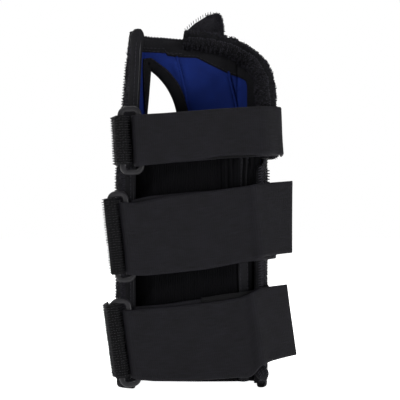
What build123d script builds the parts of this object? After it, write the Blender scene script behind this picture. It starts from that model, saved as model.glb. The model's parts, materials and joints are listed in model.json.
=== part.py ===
from build123d import *
import os
from math import cos, radians, sin

# Wrist splint for a right hand: a soft sleeve with stays, a stretch tongue and three strap closures.
#
# Units are millimetres. The splint stands on its forearm end.
# +Z runs from the forearm to the fingers, -Y is the closing side on the back of the hand,
# +Y is the palm, -X is the thumb's side and +X is the little finger's side.
# The origin is on the resting plane, under the middle of the whole splint.

os.makedirs("parts", exist_ok=True)

# ---- Sleeve ---------------------------------------------------------------------------------
thumb_face = -43.6  # outer face of the sleeve on the thumb's side
little_face = 33.2  # outer face on the little finger's side
closing_face = -26.0  # outer face on the closing side
palm_face = 28.0  # outer face at the palm
closing_radius = 16.0
palm_radius = 14.0
shell = 2.0  # foam laminate
lining = 1.0
wall = shell + lining
wall_foot = 1.2  # where the laminate starts, inside the hem
wall_top = 184.0
lean_start = 110.0  # above this height the thumb's side leans in over the hand
lean_end = 186.0
top_lean = 6.9

thumb_seam = -31.5  # seam between the thumb's side and the palm
little_seam = 19.2  # seam between the palm and the little finger's side
reach = 400.0  # longer than the splint, for cuts that go right through

# ---- Edges ----------------------------------------------------------------------------------
edge_top = 116.0  # top of the closing edge on the little finger's side
edge_left = 27.0
edge_right = 32.3
rail_left = (-39.7, -36.0)  # the rail's sides, at the foot and at the top
rail_right = (-33.5, -29.6)
rail_top = 186.0
edge_depth = 9.0  # the edges lie further than this towards the closing side
edge_proud = 0.8
edge_inset = 4.0
hem_height = 5.0
rim_depth = 9.0
knob_width = 9.0
knob_height = 10.4
knob_depth = 9.5
knob_back = 16.0
knob_foot = 2.4
knob_x = 30.8
knob_corner = 3.6
knob_fillet = 1.6
rail_fillet = 0.9
channel_depths = (0.5, 2.5)  # how deep in the wall each edge stay's channel lies
channel_inset = 1.2  # cloth at each side of the rail's channel
channel_end = 4.0  # cloth above a channel
right_channel_foot = 6.0
stay_depths = (0.8, 2.2)
stay_play = 0.3  # room at each side of an edge stay
end_play = 0.5

# ---- Thumb hole -----------------------------------------------------------------------------
hole_left = -29.5
hole_right = -13.4
hole_top = 168.4
hole_shoulder = 142.0
hole_bottom = 116.0
hole_border = 6.0
hole_border_thumb = 1.8  # the border is narrow beside the thumb's seam
bind_gap = 0.7  # how far a binding stands over the edge and the faces that it covers

# ---- Palm stay and its pocket ---------------------------------------------------------------
stay_width = 20.0
stay_thick = 1.6
stay_foot = 14.0
stay_top = 186.0
stay_y = 31.1
stay_x = 5.2
pocket_width = 25.0
pocket_foot = 10.0
pocket_top = 188.0
pocket_back = 33.6
pocket_play = 0.3
peak_thick = 1.3

# ---- Padded roll ----------------------------------------------------------------------------
roll_radius = 4.6
roll_bend = 9.0
roll_route = [
    (-10, 24.9, 182.9),
    (5, 24.9, 181.6),
    (17, 24.6, 178.5),
    (28.6, 19.5, 171),
    (33.2, 8.6, 161),
    (34.1, -4, 147),
    (34.2, -11, 132),
    (34.2, -12.6, 118.4),
]

# ---- Tongue ---------------------------------------------------------------------------------
tongue_thick = 1.6
tongue_foot = 4.0
tongue_top = 132.0
tongue_route = [
    (-34.5, -14.5),
    (-30.5, -18.6),
    (-24.5, -24.6),
    (-2, -27),
    (17, -25.6),
    (24.3, -20.6),
    (27.4, -13.5),
]
tape_route = [(18.6, -26.5), (24.1, -22.7)]
tape_thick = 1.2
tongue_hem = 5.0
hem_thick = 0.25  # on each face of the tongue

# ---- Closures -------------------------------------------------------------------------------
band = 1.3  # thickness of the elastic
bar = 1.6  # radius of a ring's bars
fold_clear = 0.9  # room between a bar and the fold around it
fold_mid = bar + fold_clear + band / 2
ring_y = -30.0
ring_corner = 4.6
layer_y = 1.2  # each layer's distance from the ring's plane, past the ring
layer_start = 13.0  # where the two layers have come together, from the bar
inner_start = 4.4
tab_thick = 1.6
tab_clear = 0.4
tab_mid = bar + tab_clear + tab_thick / 2
tab_end = 4.0
patch_thick = 0.7
patch_ends = (2.0, 27.0)
tail_bend = 35.0
tail_fillet = 6.0
tab_off_side = 0.95  # the tab's middle stands this far off the thumb's side

# For each closure: strap width, tab width, ring height, the ring's middle in X and Z, the distance
# between its long bars, how far below the ring's middle the strap lies, and its tilt in degrees.
closures = {
    1: (25.4, 23.6, 35.4, -36.2, 127.3, 9.2, 0.2, 3.0),
    2: (38.1, 35.6, 47.2, -40.9, 78.2, 7.8, 0.9, 6.0),
    3: (38.1, 34.6, 45.8, -39.0, 24.3, 8.1, 0.2, 8.0),
}
inner_corner_x = (30.0, 28.0, 28.0)
inner_corner_y = -20.0
side_clear = 0.15  # between the sewn layer and the side that it lies on
inner_back = (4.0, -4.0, -4.0)  # where the sewn end of each strap lies on the side
tail_from = (33.0, 30.0, 29.5)
tail_length = 20.5


# ---- Helpers --------------------------------------------------------------------------------
def outline(height, inset):
    """The sleeve's closed outline at one height, moved in from its outer face."""
    lean = top_lean * max(0.0, height - lean_start) / (lean_end - lean_start)
    left = thumb_face + lean + inset
    right = little_face - inset
    front = closing_face + inset
    back = palm_face - inset
    with BuildSketch(Plane.XY.offset(height)) as section:
        with Locations(((left + right) / 2, (front + back) / 2)):
            Rectangle(right - left, back - front)
        fillet(section.vertices().group_by(Axis.Y)[0], closing_radius - inset)
        fillet(section.vertices().group_by(Axis.Y)[-1], palm_radius - inset)
    return section.sketch


def add_wall(outer, inner):
    """Add the sleeve's wall between two depths to the part that is open."""
    heights = (0, lean_start, lean_end)
    loft([outline(height, outer) for height in heights], ruled=True)
    loft([outline(height, inner) for height in heights], ruled=True, mode=Mode.SUBTRACT)


def cut_shape(plane, points, mode, depth=reach, both=True):
    """Cut the open part with a polygon's prism: keep what is inside it, or take it away."""
    with BuildSketch(plane) as region:
        with BuildLine():
            Polyline(*points, close=True)
        make_face()
    extrude(region.sketch, amount=depth, both=both, mode=mode)


def rectangle_points(left, low, right, high):
    return [(left, low), (right, low), (right, high), (left, high)]


closing_side = Plane.XZ.offset(edge_depth)
palm_side = Plane.XZ.offset(-edge_depth)
rail_zone = [
    (rail_left[0], 0),
    (rail_right[0], 0),
    (rail_right[0], lean_start),
    (rail_right[1], rail_top),
    (rail_left[1], rail_top),
    (rail_left[0], lean_start),
]
palm_top = [(thumb_seam, wall_top), (-11, 182.5), (5, 181), (little_seam, 177.3)]
little_top = [
    (30, 177.6),
    (20, 170.5),
    (8.6, 161),
    (-4, 147),
    (-11, 132),
    (-12.6, 118.4),
    (-14, edge_top),
    (-30, edge_top),
]


def inside_rail(inset, foot, top):
    """The rail's zone in from its sides, between two heights."""
    (left, _), (right, _) = rail_zone[0], rail_zone[1]
    (top_right, _), (top_left, _) = rail_zone[3], rail_zone[4]
    return [
        (left + inset, foot),
        (right - inset, foot),
        (right - inset, lean_start),
        (top_right - inset, top),
        (top_left + inset, top),
        (left + inset, lean_start),
    ]


def inside_edge(inset, foot, top):
    """The closing edge's zone in from its sides, between two heights."""
    return rectangle_points(edge_left + inset, foot, edge_right - inset, top)


def hole_face(plane, border, border_thumb):
    """The thumb hole's outline, grown by a border: pointed at the top and round at the bottom."""
    left = hole_left - border_thumb
    right = hole_right + border
    bottom = hole_bottom - border
    radius = (right - left) / 2
    with BuildSketch(plane) as face:
        with BuildLine():
            side = Line((left, bottom + radius), (left, hole_top + border))
            over = ThreePointArc(
                side @ 1,
                (left + 0.68 * (right - left), hole_shoulder + border + 0.56 * (hole_top - hole_shoulder)),
                (right, hole_shoulder),
            )
            down = Line(over @ 1, (right, bottom + radius))
            ThreePointArc(down @ 1, ((left + right) / 2, bottom), side @ 0)
        make_face()
    return face.sketch


def make_thumb_wall(outer, inner, foremost):
    """One layer of the thumb's side, from the rail, or a depth behind it, round to the palm's seam."""
    with BuildPart() as layer:
        add_wall(outer, inner)
        cut_shape(Plane.XY, rectangle_points(-60, foremost, thumb_seam, 60), Mode.INTERSECT)
        cut_shape(Plane.XZ, rectangle_points(-60, wall_foot, 60, wall_top), Mode.INTERSECT)
        open_side = [rail_zone[5], (60, lean_start), (60, rail_top), rail_zone[4]]
        foot_side = [rail_zone[0], (60, 0), (60, lean_start), rail_zone[5]]
        for points in (open_side, foot_side):
            cut_shape(closing_side, points, Mode.SUBTRACT, both=False)
    return layer


def make_palm_wall(outer, inner):
    """One layer of the palm panel, with the thumb hole."""
    with BuildPart() as layer:
        add_wall(outer, inner)
        sides = [(little_seam, wall_foot), (thumb_seam, wall_foot)]
        cut_shape(palm_side, sides + palm_top, Mode.INTERSECT, both=False, depth=-reach)
        extrude(hole_face(palm_side, bind_gap, bind_gap), amount=-reach, mode=Mode.SUBTRACT)
    return layer


def make_little_wall(outer, inner):
    """One layer of the little finger's side, with its top sloping down to the closing edge."""
    with BuildPart() as layer:
        add_wall(outer, inner)
        cut_shape(Plane.XY, rectangle_points(little_seam, -60, 60, 60), Mode.INTERSECT)
        below = [(-30, wall_foot), (30, wall_foot)]
        cut_shape(Plane.YZ, below + little_top, Mode.INTERSECT)
        cut_shape(closing_side, rectangle_points(0, 0, edge_right, reach), Mode.SUBTRACT, both=False)
    return layer


def finish(piece, label):
    """Name a finished piece and write it."""
    piece.part.label = label
    export_step(piece.part, f"parts/{label}.step")


# ---- Sleeve: laminate panels and lining -------------------------------------------------------
radial_panel = make_thumb_wall(0, shell, -60)
palmar_panel = make_palm_wall(0, shell)
ulnar_panel = make_little_wall(0, shell)
radial_lining = make_thumb_wall(shell, wall, 0.5 - edge_depth)
palmar_lining = make_palm_wall(shell, wall)
ulnar_lining = make_little_wall(shell, wall)
walls = [radial_panel, palmar_panel, ulnar_panel, radial_lining, palmar_lining, ulnar_lining]

finish(radial_panel, "radial_panel")
finish(palmar_panel, "palmar_panel")
finish(ulnar_panel, "ulnar_panel")
finish(radial_lining, "radial_lining")
finish(palmar_lining, "palmar_lining")
finish(ulnar_lining, "ulnar_lining")

# ---- Left rail: a sewn channel along the thumb's closing edge, with a captive stay ------------
with BuildPart() as left_channel:
    add_wall(*channel_depths)
    slot = inside_rail(channel_inset, tongue_foot, rail_top - channel_end)
    cut_shape(closing_side, slot, Mode.INTERSECT, both=False)

with BuildPart() as left_rail:
    add_wall(-edge_proud, edge_inset)
    cut_shape(closing_side, rail_zone, Mode.INTERSECT, both=False)
    fillet(left_rail.faces().sort_by(Axis.Z)[-1].edges(), rail_fillet)
    add(left_channel.part, mode=Mode.SUBTRACT)
finish(left_rail, "left_rail")

with BuildPart() as left_stay:
    add_wall(*stay_depths)
    inset = channel_inset + stay_play
    bone = inside_rail(inset, tongue_foot + end_play, rail_top - channel_end - end_play)
    cut_shape(closing_side, bone, Mode.INTERSECT, both=False)
finish(left_stay, "left_stay")

# ---- Right edge: an overlocked edge with its own captive stay ---------------------------------
with BuildPart() as right_channel:
    add_wall(*channel_depths)
    space = inside_edge(1.0, right_channel_foot, edge_top - channel_end)
    cut_shape(closing_side, space, Mode.INTERSECT, both=False)

with BuildPart() as right_edge_binding:
    add_wall(-edge_proud, edge_inset)
    cut_shape(closing_side, inside_edge(0, knob_foot, edge_top), Mode.INTERSECT, both=False)
    add(right_channel.part, mode=Mode.SUBTRACT)
finish(right_edge_binding, "right_edge_binding")

with BuildPart() as right_stay:
    add_wall(*stay_depths)
    ends = (right_channel_foot + end_play, edge_top - channel_end - end_play)
    bone = inside_edge(1.0 + stay_play, *ends)
    cut_shape(closing_side, bone, Mode.INTERSECT, both=False)
finish(right_stay, "right_stay")

with BuildPart() as right_knob:
    with BuildSketch(Plane.XZ.offset(knob_back)):
        with Locations((knob_x, knob_foot + knob_height / 2)):
            RectangleRounded(knob_width, knob_height, knob_corner)
    extrude(amount=knob_depth)
    fillet(right_knob.faces().sort_by(Axis.Y)[0].edges(), knob_fillet)
    loft([outline(height, -edge_proud) for height in (0, lean_start)], mode=Mode.SUBTRACT)
finish(right_knob, "right_knob")

# ---- Hem, top rim and thumb hole: bindings that wrap the laminate's raw edges -----------------
with BuildPart() as bottom_rim_binding:
    add_wall(-bind_gap, wall + bind_gap)
    cut_shape(Plane.XZ, rectangle_points(-60, 0, 60, hem_height), Mode.INTERSECT)
    cut_shape(closing_side, rectangle_points(rail_left[0], -1, edge_right, reach), Mode.SUBTRACT, both=False)
    for piece in walls:
        add(piece.part, mode=Mode.SUBTRACT)
finish(bottom_rim_binding, "bottom_rim_binding")

with BuildPart() as top_rim_binding:
    add_wall(-bind_gap, wall + bind_gap)
    rim_right = -10.5
    rim = [
        (-60, wall_top - rim_depth),
        (rim_right, 182.4 - rim_depth),
        (rim_right, 182.4 + bind_gap),
        (thumb_seam, wall_top + bind_gap),
        (-60, wall_top + bind_gap),
    ]
    cut_shape(Plane.XZ, rim, Mode.INTERSECT)
    open_side = [(-36.4, 0), (60, 0), (60, reach), (-36.4, reach)]
    cut_shape(closing_side, open_side, Mode.SUBTRACT, both=False)
    for piece in walls + [left_rail]:
        add(piece.part, mode=Mode.SUBTRACT)
finish(top_rim_binding, "top_rim_binding")

with BuildPart() as thumb_hole_binding:
    add_wall(-bind_gap, wall + bind_gap)
    extrude(
        hole_face(palm_side, hole_border, hole_border_thumb),
        amount=-reach,
        mode=Mode.INTERSECT,
    )
    extrude(hole_face(palm_side, 0, 0), amount=-reach, mode=Mode.SUBTRACT)
    for piece in walls + [top_rim_binding]:
        add(piece.part, mode=Mode.SUBTRACT)
finish(thumb_hole_binding, "thumb_hole_binding")

# ---- Palm pocket, its peak and the stay that slides in it -------------------------------------
with BuildPart() as palmar_pocket:
    with BuildSketch(Plane.XY.offset(pocket_foot)):
        with Locations((stay_x, (palm_face + pocket_back) / 2)):
            Rectangle(pocket_width, pocket_back - palm_face)
    extrude(amount=pocket_top - pocket_foot)
    fillet(palmar_pocket.edges().filter_by(Axis.Z).group_by(Axis.Y)[-1], 1.8)
    with BuildSketch(Plane.XY.offset(stay_foot - 1)):
        with Locations((stay_x, stay_y)):
            Rectangle(stay_width + 2 * pocket_play, stay_thick + 2 * pocket_play)
    extrude(amount=reach, mode=Mode.SUBTRACT)
finish(palmar_pocket, "palmar_pocket")

with BuildPart() as palmar_stay:
    with BuildSketch(Plane.XZ.offset(-(stay_y + stay_thick / 2))):
        with Locations((stay_x, (stay_foot + stay_top) / 2)):
            RectangleRounded(stay_width, stay_top - stay_foot, stay_width / 2 - 0.5)
    extrude(amount=stay_thick)
    fillet(palmar_stay.faces().filter_by(Axis.Y).edges(), 0.3)
finish(palmar_stay, "palmar_stay")

with BuildPart() as pocket_peak:
    with BuildSketch(Plane.XZ.offset(-pocket_back)):
        with BuildLine():
            slope = Spline((-8.6, 188), (-2.5, 193.2), (3, 196.2), (7.6, 197.8))
            crown = ThreePointArc(slope @ 1, (10.4, 196.4), (11.4, 193.6))
            Polyline(crown @ 1, (12.2, pocket_top), slope @ 0)
        make_face()
    extrude(amount=peak_thick)
finish(pocket_peak, "pocket_peak")

# ---- Padded roll along the top of the palm and down the little finger's side ------------------
with BuildPart() as ulnar_roll:
    with BuildLine() as roll_line:
        FilletPolyline(*roll_route, radius=roll_bend)
    with BuildSketch(Plane(roll_line.line @ 0, z_dir=roll_line.line % 0)):
        Circle(roll_radius)
    sweep()
    for piece in walls + [palmar_pocket, top_rim_binding, right_edge_binding]:
        add(piece.part, mode=Mode.SUBTRACT)
finish(ulnar_roll, "ulnar_roll")

# ---- Tongue -----------------------------------------------------------------------------------
with BuildPart() as tongue:
    with BuildSketch(Plane.XY.offset(tongue_foot)):
        with BuildLine():
            FilletPolyline(*tongue_route, radius=3)
        trace(line_width=tongue_thick)
    extrude(amount=tongue_top - tongue_foot)
finish(tongue, "tongue")

with BuildPart() as tongue_tape:
    with BuildSketch(Plane.XY.offset(tongue_foot)):
        with BuildLine():
            Line(*tape_route)
        trace(line_width=tape_thick)
    extrude(amount=tongue_top - tongue_hem - tongue_foot - 1)
finish(tongue_tape, "tongue_tape")

with BuildPart() as tongue_hem_band:
    with BuildSketch(Plane.XY.offset(tongue_top - tongue_hem)):
        with BuildLine():
            FilletPolyline(*tongue_route[1:-1], radius=3)
        trace(line_width=tongue_thick + 2 * hem_thick)
    extrude(amount=tongue_hem + 0.6)
    add(tongue.part, mode=Mode.SUBTRACT)
finish(tongue_hem_band, "tongue_hem")


# ---- Closures: a ring on a hook-tape tab, and a strap folded through it -----------------------
def bar_point(x, height, tilt, distance, drop):
    """The point on a ring's long bar where the tab or the strap has its middle."""
    slope = radians(tilt)
    return (
        x + distance * cos(slope) + drop * sin(slope),
        ring_y,
        height + distance * sin(slope) - drop * cos(slope),
    )


def closure_plane(point, tilt):
    """A plan view across the strap at one bar: x runs along the strap and y towards the palm."""
    slope = radians(tilt)
    return Plane(point, x_dir=(cos(slope), 0, sin(slope)), z_dir=(-sin(slope), 0, cos(slope)))


def make_ring(middle, spacing, height, tilt):
    """A moulded loop: two long bars with round corners between."""
    slope = radians(tilt)
    width = spacing + 2 * bar
    with BuildPart() as ring:
        with BuildSketch(Plane(middle, x_dir=(cos(slope), 0, sin(slope)), z_dir=(0, -1, 0))):
            RectangleRounded(width, height, ring_corner)
            RectangleRounded(width - 4 * bar, height - 4 * bar, ring_corner - 2 * bar, mode=Mode.SUBTRACT)
        extrude(amount=bar, both=True)
        fillet(ring.faces().filter_by(Axis.Y).edges(), 1.2)
    return ring


def make_tab(left_bar, width, tilt):
    """Hook tape along the thumb's side that loops round the ring's outer bar and back."""
    x, _, height = left_bar
    lean_slope = top_lean / (lean_end - lean_start) if height > lean_start else 0.0
    lean = lean_slope * (height - lean_start)
    side = thumb_face + lean - tab_off_side - width / 2 * (sin(radians(tilt)) + lean_slope) - x
    with BuildPart() as tab:
        with BuildSketch(closure_plane(left_bar, tilt)):
            with BuildLine():
                Polyline((side, tab_end - ring_y), (side - 0.3, 12), (-tab_mid, 0))
                ThreePointArc((-tab_mid, 0), (0, -tab_mid), (tab_mid, 0))
                Polyline((tab_mid, 0), (tab_mid - 0.2, 3.2), (min(side + 2.3, 0.4), 9.6))
            trace(line_width=tab_thick)
        extrude(amount=width / 2, both=True)
    return tab


def inner_side(number, width, tilt):
    """Where the sewn layer runs down the little finger's side: over the roll in the first closure."""
    face = roll_route[-1][0] + roll_radius if number == 1 else little_face
    return face + side_clear + band / 2 + width / 2 * sin(radians(tilt))


def make_inner_strap(number, right_bar, width, tilt):
    """The sewn layer: from the little finger's side across the closing side, as far as the fold."""
    side_x, corner_x = (
        (x - right_bar[0]) / cos(radians(tilt))
        for x in (inner_side(number, width, tilt), inner_corner_x[number - 1])
    )
    with BuildPart() as strap:
        with BuildSketch(closure_plane(right_bar, tilt)):
            with BuildLine():
                FilletPolyline(
                    (inner_start, fold_mid),
                    (layer_start, layer_y),
                    (corner_x, layer_y),
                    (side_x, inner_corner_y - ring_y),
                    (side_x, inner_back[number - 1] - ring_y),
                    radius=[6, 6, 6],
                )
            trace(line_width=band)
        extrude(amount=width / 2, both=True)
    return strap


def make_outer_strap(number, right_bar, width, tilt):
    """The layer that peels off: the fold round the ring's inner bar and the free run back."""
    wrap_x, bend_x = (
        (x - right_bar[0]) / cos(radians(tilt))
        for x in (inner_side(number, width, tilt) + 2 * layer_y, tail_from[number - 1])
    )
    if number == 1:
        far_end = [(wrap_x, -20.5 - ring_y), (wrap_x, -1 - ring_y)]
        bends = [6, 7, 5]
    else:
        drop = radians(tail_bend)
        far_end = [(bend_x + tail_length * cos(drop), tail_length * sin(drop) - layer_y)]
        bends = [6, tail_fillet]
    with BuildPart() as strap:
        with BuildSketch(closure_plane(right_bar, tilt)):
            with BuildLine():
                ThreePointArc((0, fold_mid), (-fold_mid, 0), (0, -fold_mid))
                FilletPolyline(
                    (0, -fold_mid),
                    (layer_start, -layer_y),
                    (bend_x, -layer_y),
                    *far_end,
                    radius=bends,
                )
            trace(line_width=band)
        extrude(amount=width / 2, both=True)
    return strap


def make_patch(right_bar, width, tilt):
    """Hook tape under the strap's free run."""
    patch_y = -layer_y + band / 2 + patch_thick / 2
    with BuildPart() as patch:
        with BuildSketch(closure_plane(right_bar, tilt)):
            with BuildLine():
                Line(*((end - right_bar[0], patch_y) for end in patch_ends))
            trace(line_width=patch_thick)
        extrude(amount=width / 2 - 1.5, both=True)
    return patch


for number, (width, tab_width, height, x, z, spacing, drop, tilt) in closures.items():
    left_bar = bar_point(x, z, tilt, -spacing / 2, drop)
    right_bar = bar_point(x, z, tilt, spacing / 2, drop)
    finish(make_ring((x, ring_y, z), spacing, height, tilt), f"ring_{number}")
    finish(make_tab(left_bar, tab_width, tilt), f"ring_tab_{number}")
    finish(make_inner_strap(number, right_bar, width, tilt), f"strap_inner_{number}")
    finish(make_outer_strap(number, right_bar, width, tilt), f"strap_outer_{number}")
    finish(make_patch(right_bar, width, tilt), f"hook_patch_{number}")
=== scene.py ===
"""Looks of the wrist splint: sewn fabric, padding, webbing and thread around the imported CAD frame.

Shapes are worked out in millimetres, in the CAD's own frame, and Shape.build() turns them into metres.
+Z runs from the forearm to the fingers, -Y is the closing side, -X is the thumb's side.
"""

import json
from math import cos, pi, radians, sin, tan

import bpy
import numpy as np
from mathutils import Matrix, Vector, noise
from mathutils.geometry import delaunay_2d_cdt


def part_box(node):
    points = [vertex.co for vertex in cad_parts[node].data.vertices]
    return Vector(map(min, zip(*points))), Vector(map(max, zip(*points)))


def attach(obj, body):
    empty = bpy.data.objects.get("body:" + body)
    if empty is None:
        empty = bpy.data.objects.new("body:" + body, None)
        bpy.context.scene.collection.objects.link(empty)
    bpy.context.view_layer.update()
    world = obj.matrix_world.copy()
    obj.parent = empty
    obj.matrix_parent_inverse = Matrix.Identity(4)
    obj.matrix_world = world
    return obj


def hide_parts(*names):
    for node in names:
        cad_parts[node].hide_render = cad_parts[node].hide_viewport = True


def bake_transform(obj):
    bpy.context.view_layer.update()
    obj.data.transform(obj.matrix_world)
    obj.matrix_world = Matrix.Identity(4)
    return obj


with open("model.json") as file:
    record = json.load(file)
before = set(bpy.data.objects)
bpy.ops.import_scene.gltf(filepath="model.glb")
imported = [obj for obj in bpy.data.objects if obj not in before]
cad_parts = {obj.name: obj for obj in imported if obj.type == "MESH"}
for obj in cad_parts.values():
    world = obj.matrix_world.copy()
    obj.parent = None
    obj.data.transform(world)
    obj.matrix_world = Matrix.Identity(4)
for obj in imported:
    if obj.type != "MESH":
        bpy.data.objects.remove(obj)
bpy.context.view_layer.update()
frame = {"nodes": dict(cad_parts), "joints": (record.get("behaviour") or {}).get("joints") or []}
rng = np.random.default_rng(11)
MM = 0.001


# ---- Frame: where the CAD parts are, in millimetres -------------------------------------------
def box(node):
    low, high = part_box(node)
    return np.array(low) / MM, np.array(high) / MM


thumb_face = box("radial_panel")[0][0]
little_face = box("ulnar_panel")[1][0]
palm_face = box("palmar_panel")[1][1]
closing_face = -26.0
closing_radius, palm_radius = 16.0, 14.0
wall_foot, wall_top = box("radial_panel")[0][2], box("radial_panel")[1][2]
shell, lining, wall = 2.0, 1.0, 3.0
lean_start, lean_end, top_lean = 110.0, 186.0, 6.9
thumb_seam, little_seam = -31.5, 19.2
edge_top = box("right_edge_binding")[1][2]
# Top edges as (x, height) on the palm and (y, height) on the little finger's side.
palm_top = [(thumb_seam, 184), (-11, 182.5), (5, 181), (little_seam, 177.3)]
little_top = [
    (28, 177.6), (20, 170.5), (8.6, 161), (-4, 147), (-11, 132),
    (-12.6, 118.4), (-14, edge_top), (-30, edge_top),
]
roll_route = [
    (-10, 24.9, 182.9), (5, 24.9, 181.6), (17, 24.6, 178.5), (28.6, 19.5, 171),
    (33.2, 8.6, 161), (34.1, -4, 147), (34.2, -11, 132), (34.2, -12.6, 118.4),
]
tongue_route = [
    (-34.5, -14.5), (-30.5, -18.6), (-24.5, -24.6), (-2, -27), (17, -25.6), (24.3, -20.6), (27.4, -13.5),
]
strap_widths = {1: 25.4, 2: 38.1, 3: 38.1}
tab_widths = {1: 23.6, 2: 35.6, 3: 34.6}
band = 1.3  # an elastic layer's thickness
fold_mid = 3.15  # from a ring's bar to the middle of the layer folded round it
joints = {j["name"]: j for j in frame["joints"]}


# ---- Lines ------------------------------------------------------------------------------------
def unit(v):
    return v / np.maximum(np.linalg.norm(v, axis=-1, keepdims=True), 1e-12)


def lengths(line):
    """How far along a line each of its points is."""
    return np.concatenate([[0], np.cumsum(np.linalg.norm(np.diff(line, axis=0), axis=1))])


def join(*parts):
    """Numbers and arrays side by side, as one array of points."""
    return np.stack(np.broadcast_arrays(*parts), -1)


def follow(line, along, at):
    """A line's points, or the values that run with it, at distances along it."""
    return np.stack([np.interp(at, along, column) for column in line.T], -1)


def bump(x, size):
    """A smooth hill that is 1 where x is 0."""
    return np.exp(-((x / size) ** 2))


def ramp(x, reach):
    """From 0 to 1 while x goes from 0 to reach."""
    return np.clip(x / reach, 0, 1)


def round_off(x, least):
    """A quarter circle: 1 until x is 0, then down to the least where x is 1."""
    return np.sqrt(np.clip(1 - np.clip(x, 0, 1) ** 2, least, 1))


def bilinear(table, i, j, a, b):
    """Values between a table's rows (a past row i) and columns (b past column j)."""
    near = (1 - b) * table[i, j] + b * table[i, j + 1]
    return (1 - a) * near + a * ((1 - b) * table[i + 1, j] + b * table[i + 1, j + 1])


def resample(line, step):
    """The same line with evenly spaced points, about a step apart."""
    along = lengths(line)
    at = np.linspace(0, along[-1], max(3, int(along[-1] / step) + 2))
    return follow(line, along, at)


def rounded(points, radius, step=1.0):
    """A line through the points, in 2-D or 3-D, with its corners made round."""
    points = np.array(points, float)
    radii = radius if hasattr(radius, "__len__") else [radius] * (len(points) - 2)
    out = [points[0]]
    for before, here, after, r in zip(points, points[1:], points[2:], radii):
        a, b = unit(before - here), unit(after - here)
        half = np.arccos(np.clip(a @ b, -1, 1)) / 2
        if half > pi / 2 - 0.01:
            out.append(here)
            continue
        room = 0.49 * min(np.linalg.norm(before - here), np.linalg.norm(after - here))
        reach = min(r / tan(half), room)
        centre = here + unit(a + b) * reach / cos(half)
        u, v = here + a * reach - centre, here + b * reach - centre
        angle = pi - 2 * half
        for t in np.linspace(0, 1, 9):
            out.append(centre + (sin((1 - t) * angle) * u + sin(t * angle) * v) / sin(angle))
    out.append(points[-1])
    return resample(np.array(out), step)


def ripple(points, size, seed=0.0):
    """Smooth noise from -1 to 1 at each point, with bumps of about the given size."""
    shift = Vector((seed, 0, 0))
    values = [noise.noise(Vector(p) / size + shift) for p in points.reshape(-1, 3)]
    return np.array(values).reshape(points.shape[:-1])


# ---- Meshes -----------------------------------------------------------------------------------
class Shape:
    """Gathers closed meshes, with a weave UV in metres, into one object."""

    def __init__(self):
        self.points, self.faces, self.uvs, self.slots, self.count = [], [], [], [], 0

    def add(self, points, groups, slot=0):
        """groups are (faces, uv per corner) arrays; faces that point inwards are turned over."""
        points = np.asarray(points, float)
        volume = 0.0
        for faces, _ in groups:
            p = points[faces]
            for k in range(1, faces.shape[1] - 1):
                volume += np.einsum("ij,ij->", p[:, 0], np.cross(p[:, k], p[:, k + 1]))
        for faces, uv in groups:
            if volume < 0:
                faces, uv = faces[:, ::-1], uv[:, ::-1]
            self.faces.append(faces + self.count)
            self.uvs.append(uv)
            self.slots.append(np.full(len(faces), slot))
        self.points.append(points)
        self.count += len(points)

    def build(self, name, materials, body="sleeve", stands_for=()):
        mesh = bpy.data.meshes.new(name)
        points = np.concatenate(self.points) * MM
        corners = np.concatenate([f.ravel() for f in self.faces])
        sizes = np.concatenate([np.full(len(f), f.shape[1]) for f in self.faces])
        mesh.vertices.add(len(points))
        mesh.vertices.foreach_set("co", points.ravel().astype(np.float32))
        mesh.loops.add(len(corners))
        mesh.loops.foreach_set("vertex_index", corners.astype(np.int32))
        mesh.polygons.add(len(sizes))
        mesh.polygons.foreach_set("loop_start", (np.cumsum(sizes) - sizes).astype(np.int32))
        for material in materials:
            mesh.materials.append(material)
        mesh.polygons.foreach_set("material_index", np.concatenate(self.slots).astype(np.int32))
        mesh.update(calc_edges=True)
        weave = mesh.uv_layers.new(name="weave")
        uv = np.concatenate([u.reshape(-1, 2) for u in self.uvs]) * MM
        weave.data.foreach_set("uv", uv.ravel().astype(np.float32))
        mesh.validate()
        mesh.shade_smooth()
        piece = bpy.data.objects.new(name, mesh)
        bpy.context.scene.collection.objects.link(piece)
        if stands_for:
            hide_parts(*stands_for)
        if body:
            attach(piece, body)
        return piece


def tube(shape, grid, closed=False, cap="dome", dome=0.3, slot=0):
    """Skin a grid of rings (ring, point round it, xyz). A strip cap closes a flat band's cut end."""
    rows, around = grid.shape[:2]
    middle = grid.mean(axis=1)
    along = lengths(np.concatenate([middle, middle[:1]]) if closed else middle)
    ring = lengths(np.concatenate([grid[rows // 2], grid[rows // 2][:1]]))
    i, j = np.meshgrid(np.arange(rows if closed else rows - 1), np.arange(around), indexing="ij")
    i2, j2 = (i + 1) % rows, (j + 1) % around
    quads = join(i * around + j, i2 * around + j, i2 * around + j2, i * around + j2).reshape(-1, 4)
    u = join(along[i], along[i + 1], along[i + 1], along[i])
    v = join(ring[j], ring[j], ring[j + 1], ring[j + 1])
    points, groups = grid.reshape(-1, 3), [(quads, join(u, v).reshape(-1, 4, 2))]
    if not closed:
        last = (rows - 1) * around
        if cap == "strip":
            k = np.arange(around // 2 - 1)
            front = join(k, k + 1, around - 2 - k, around - 1 - k)
            ends = np.concatenate([front, last + front[:, ::-1]])
        else:
            k = np.arange(around)
            turn = (k + 1) % around
            out = [unit(middle[0] - middle[1]) * dome, unit(middle[-1] - middle[-2]) * dome]
            points = np.concatenate([points, [middle[0] + out[0], middle[-1] + out[1]]])
            total = rows * around
            ends = np.concatenate([join(turn, k, total), join(last + k, last + turn, total + 1)])
        groups.append((ends, np.zeros(ends.shape + (2,))))
    shape.add(points, groups, slot)


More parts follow.
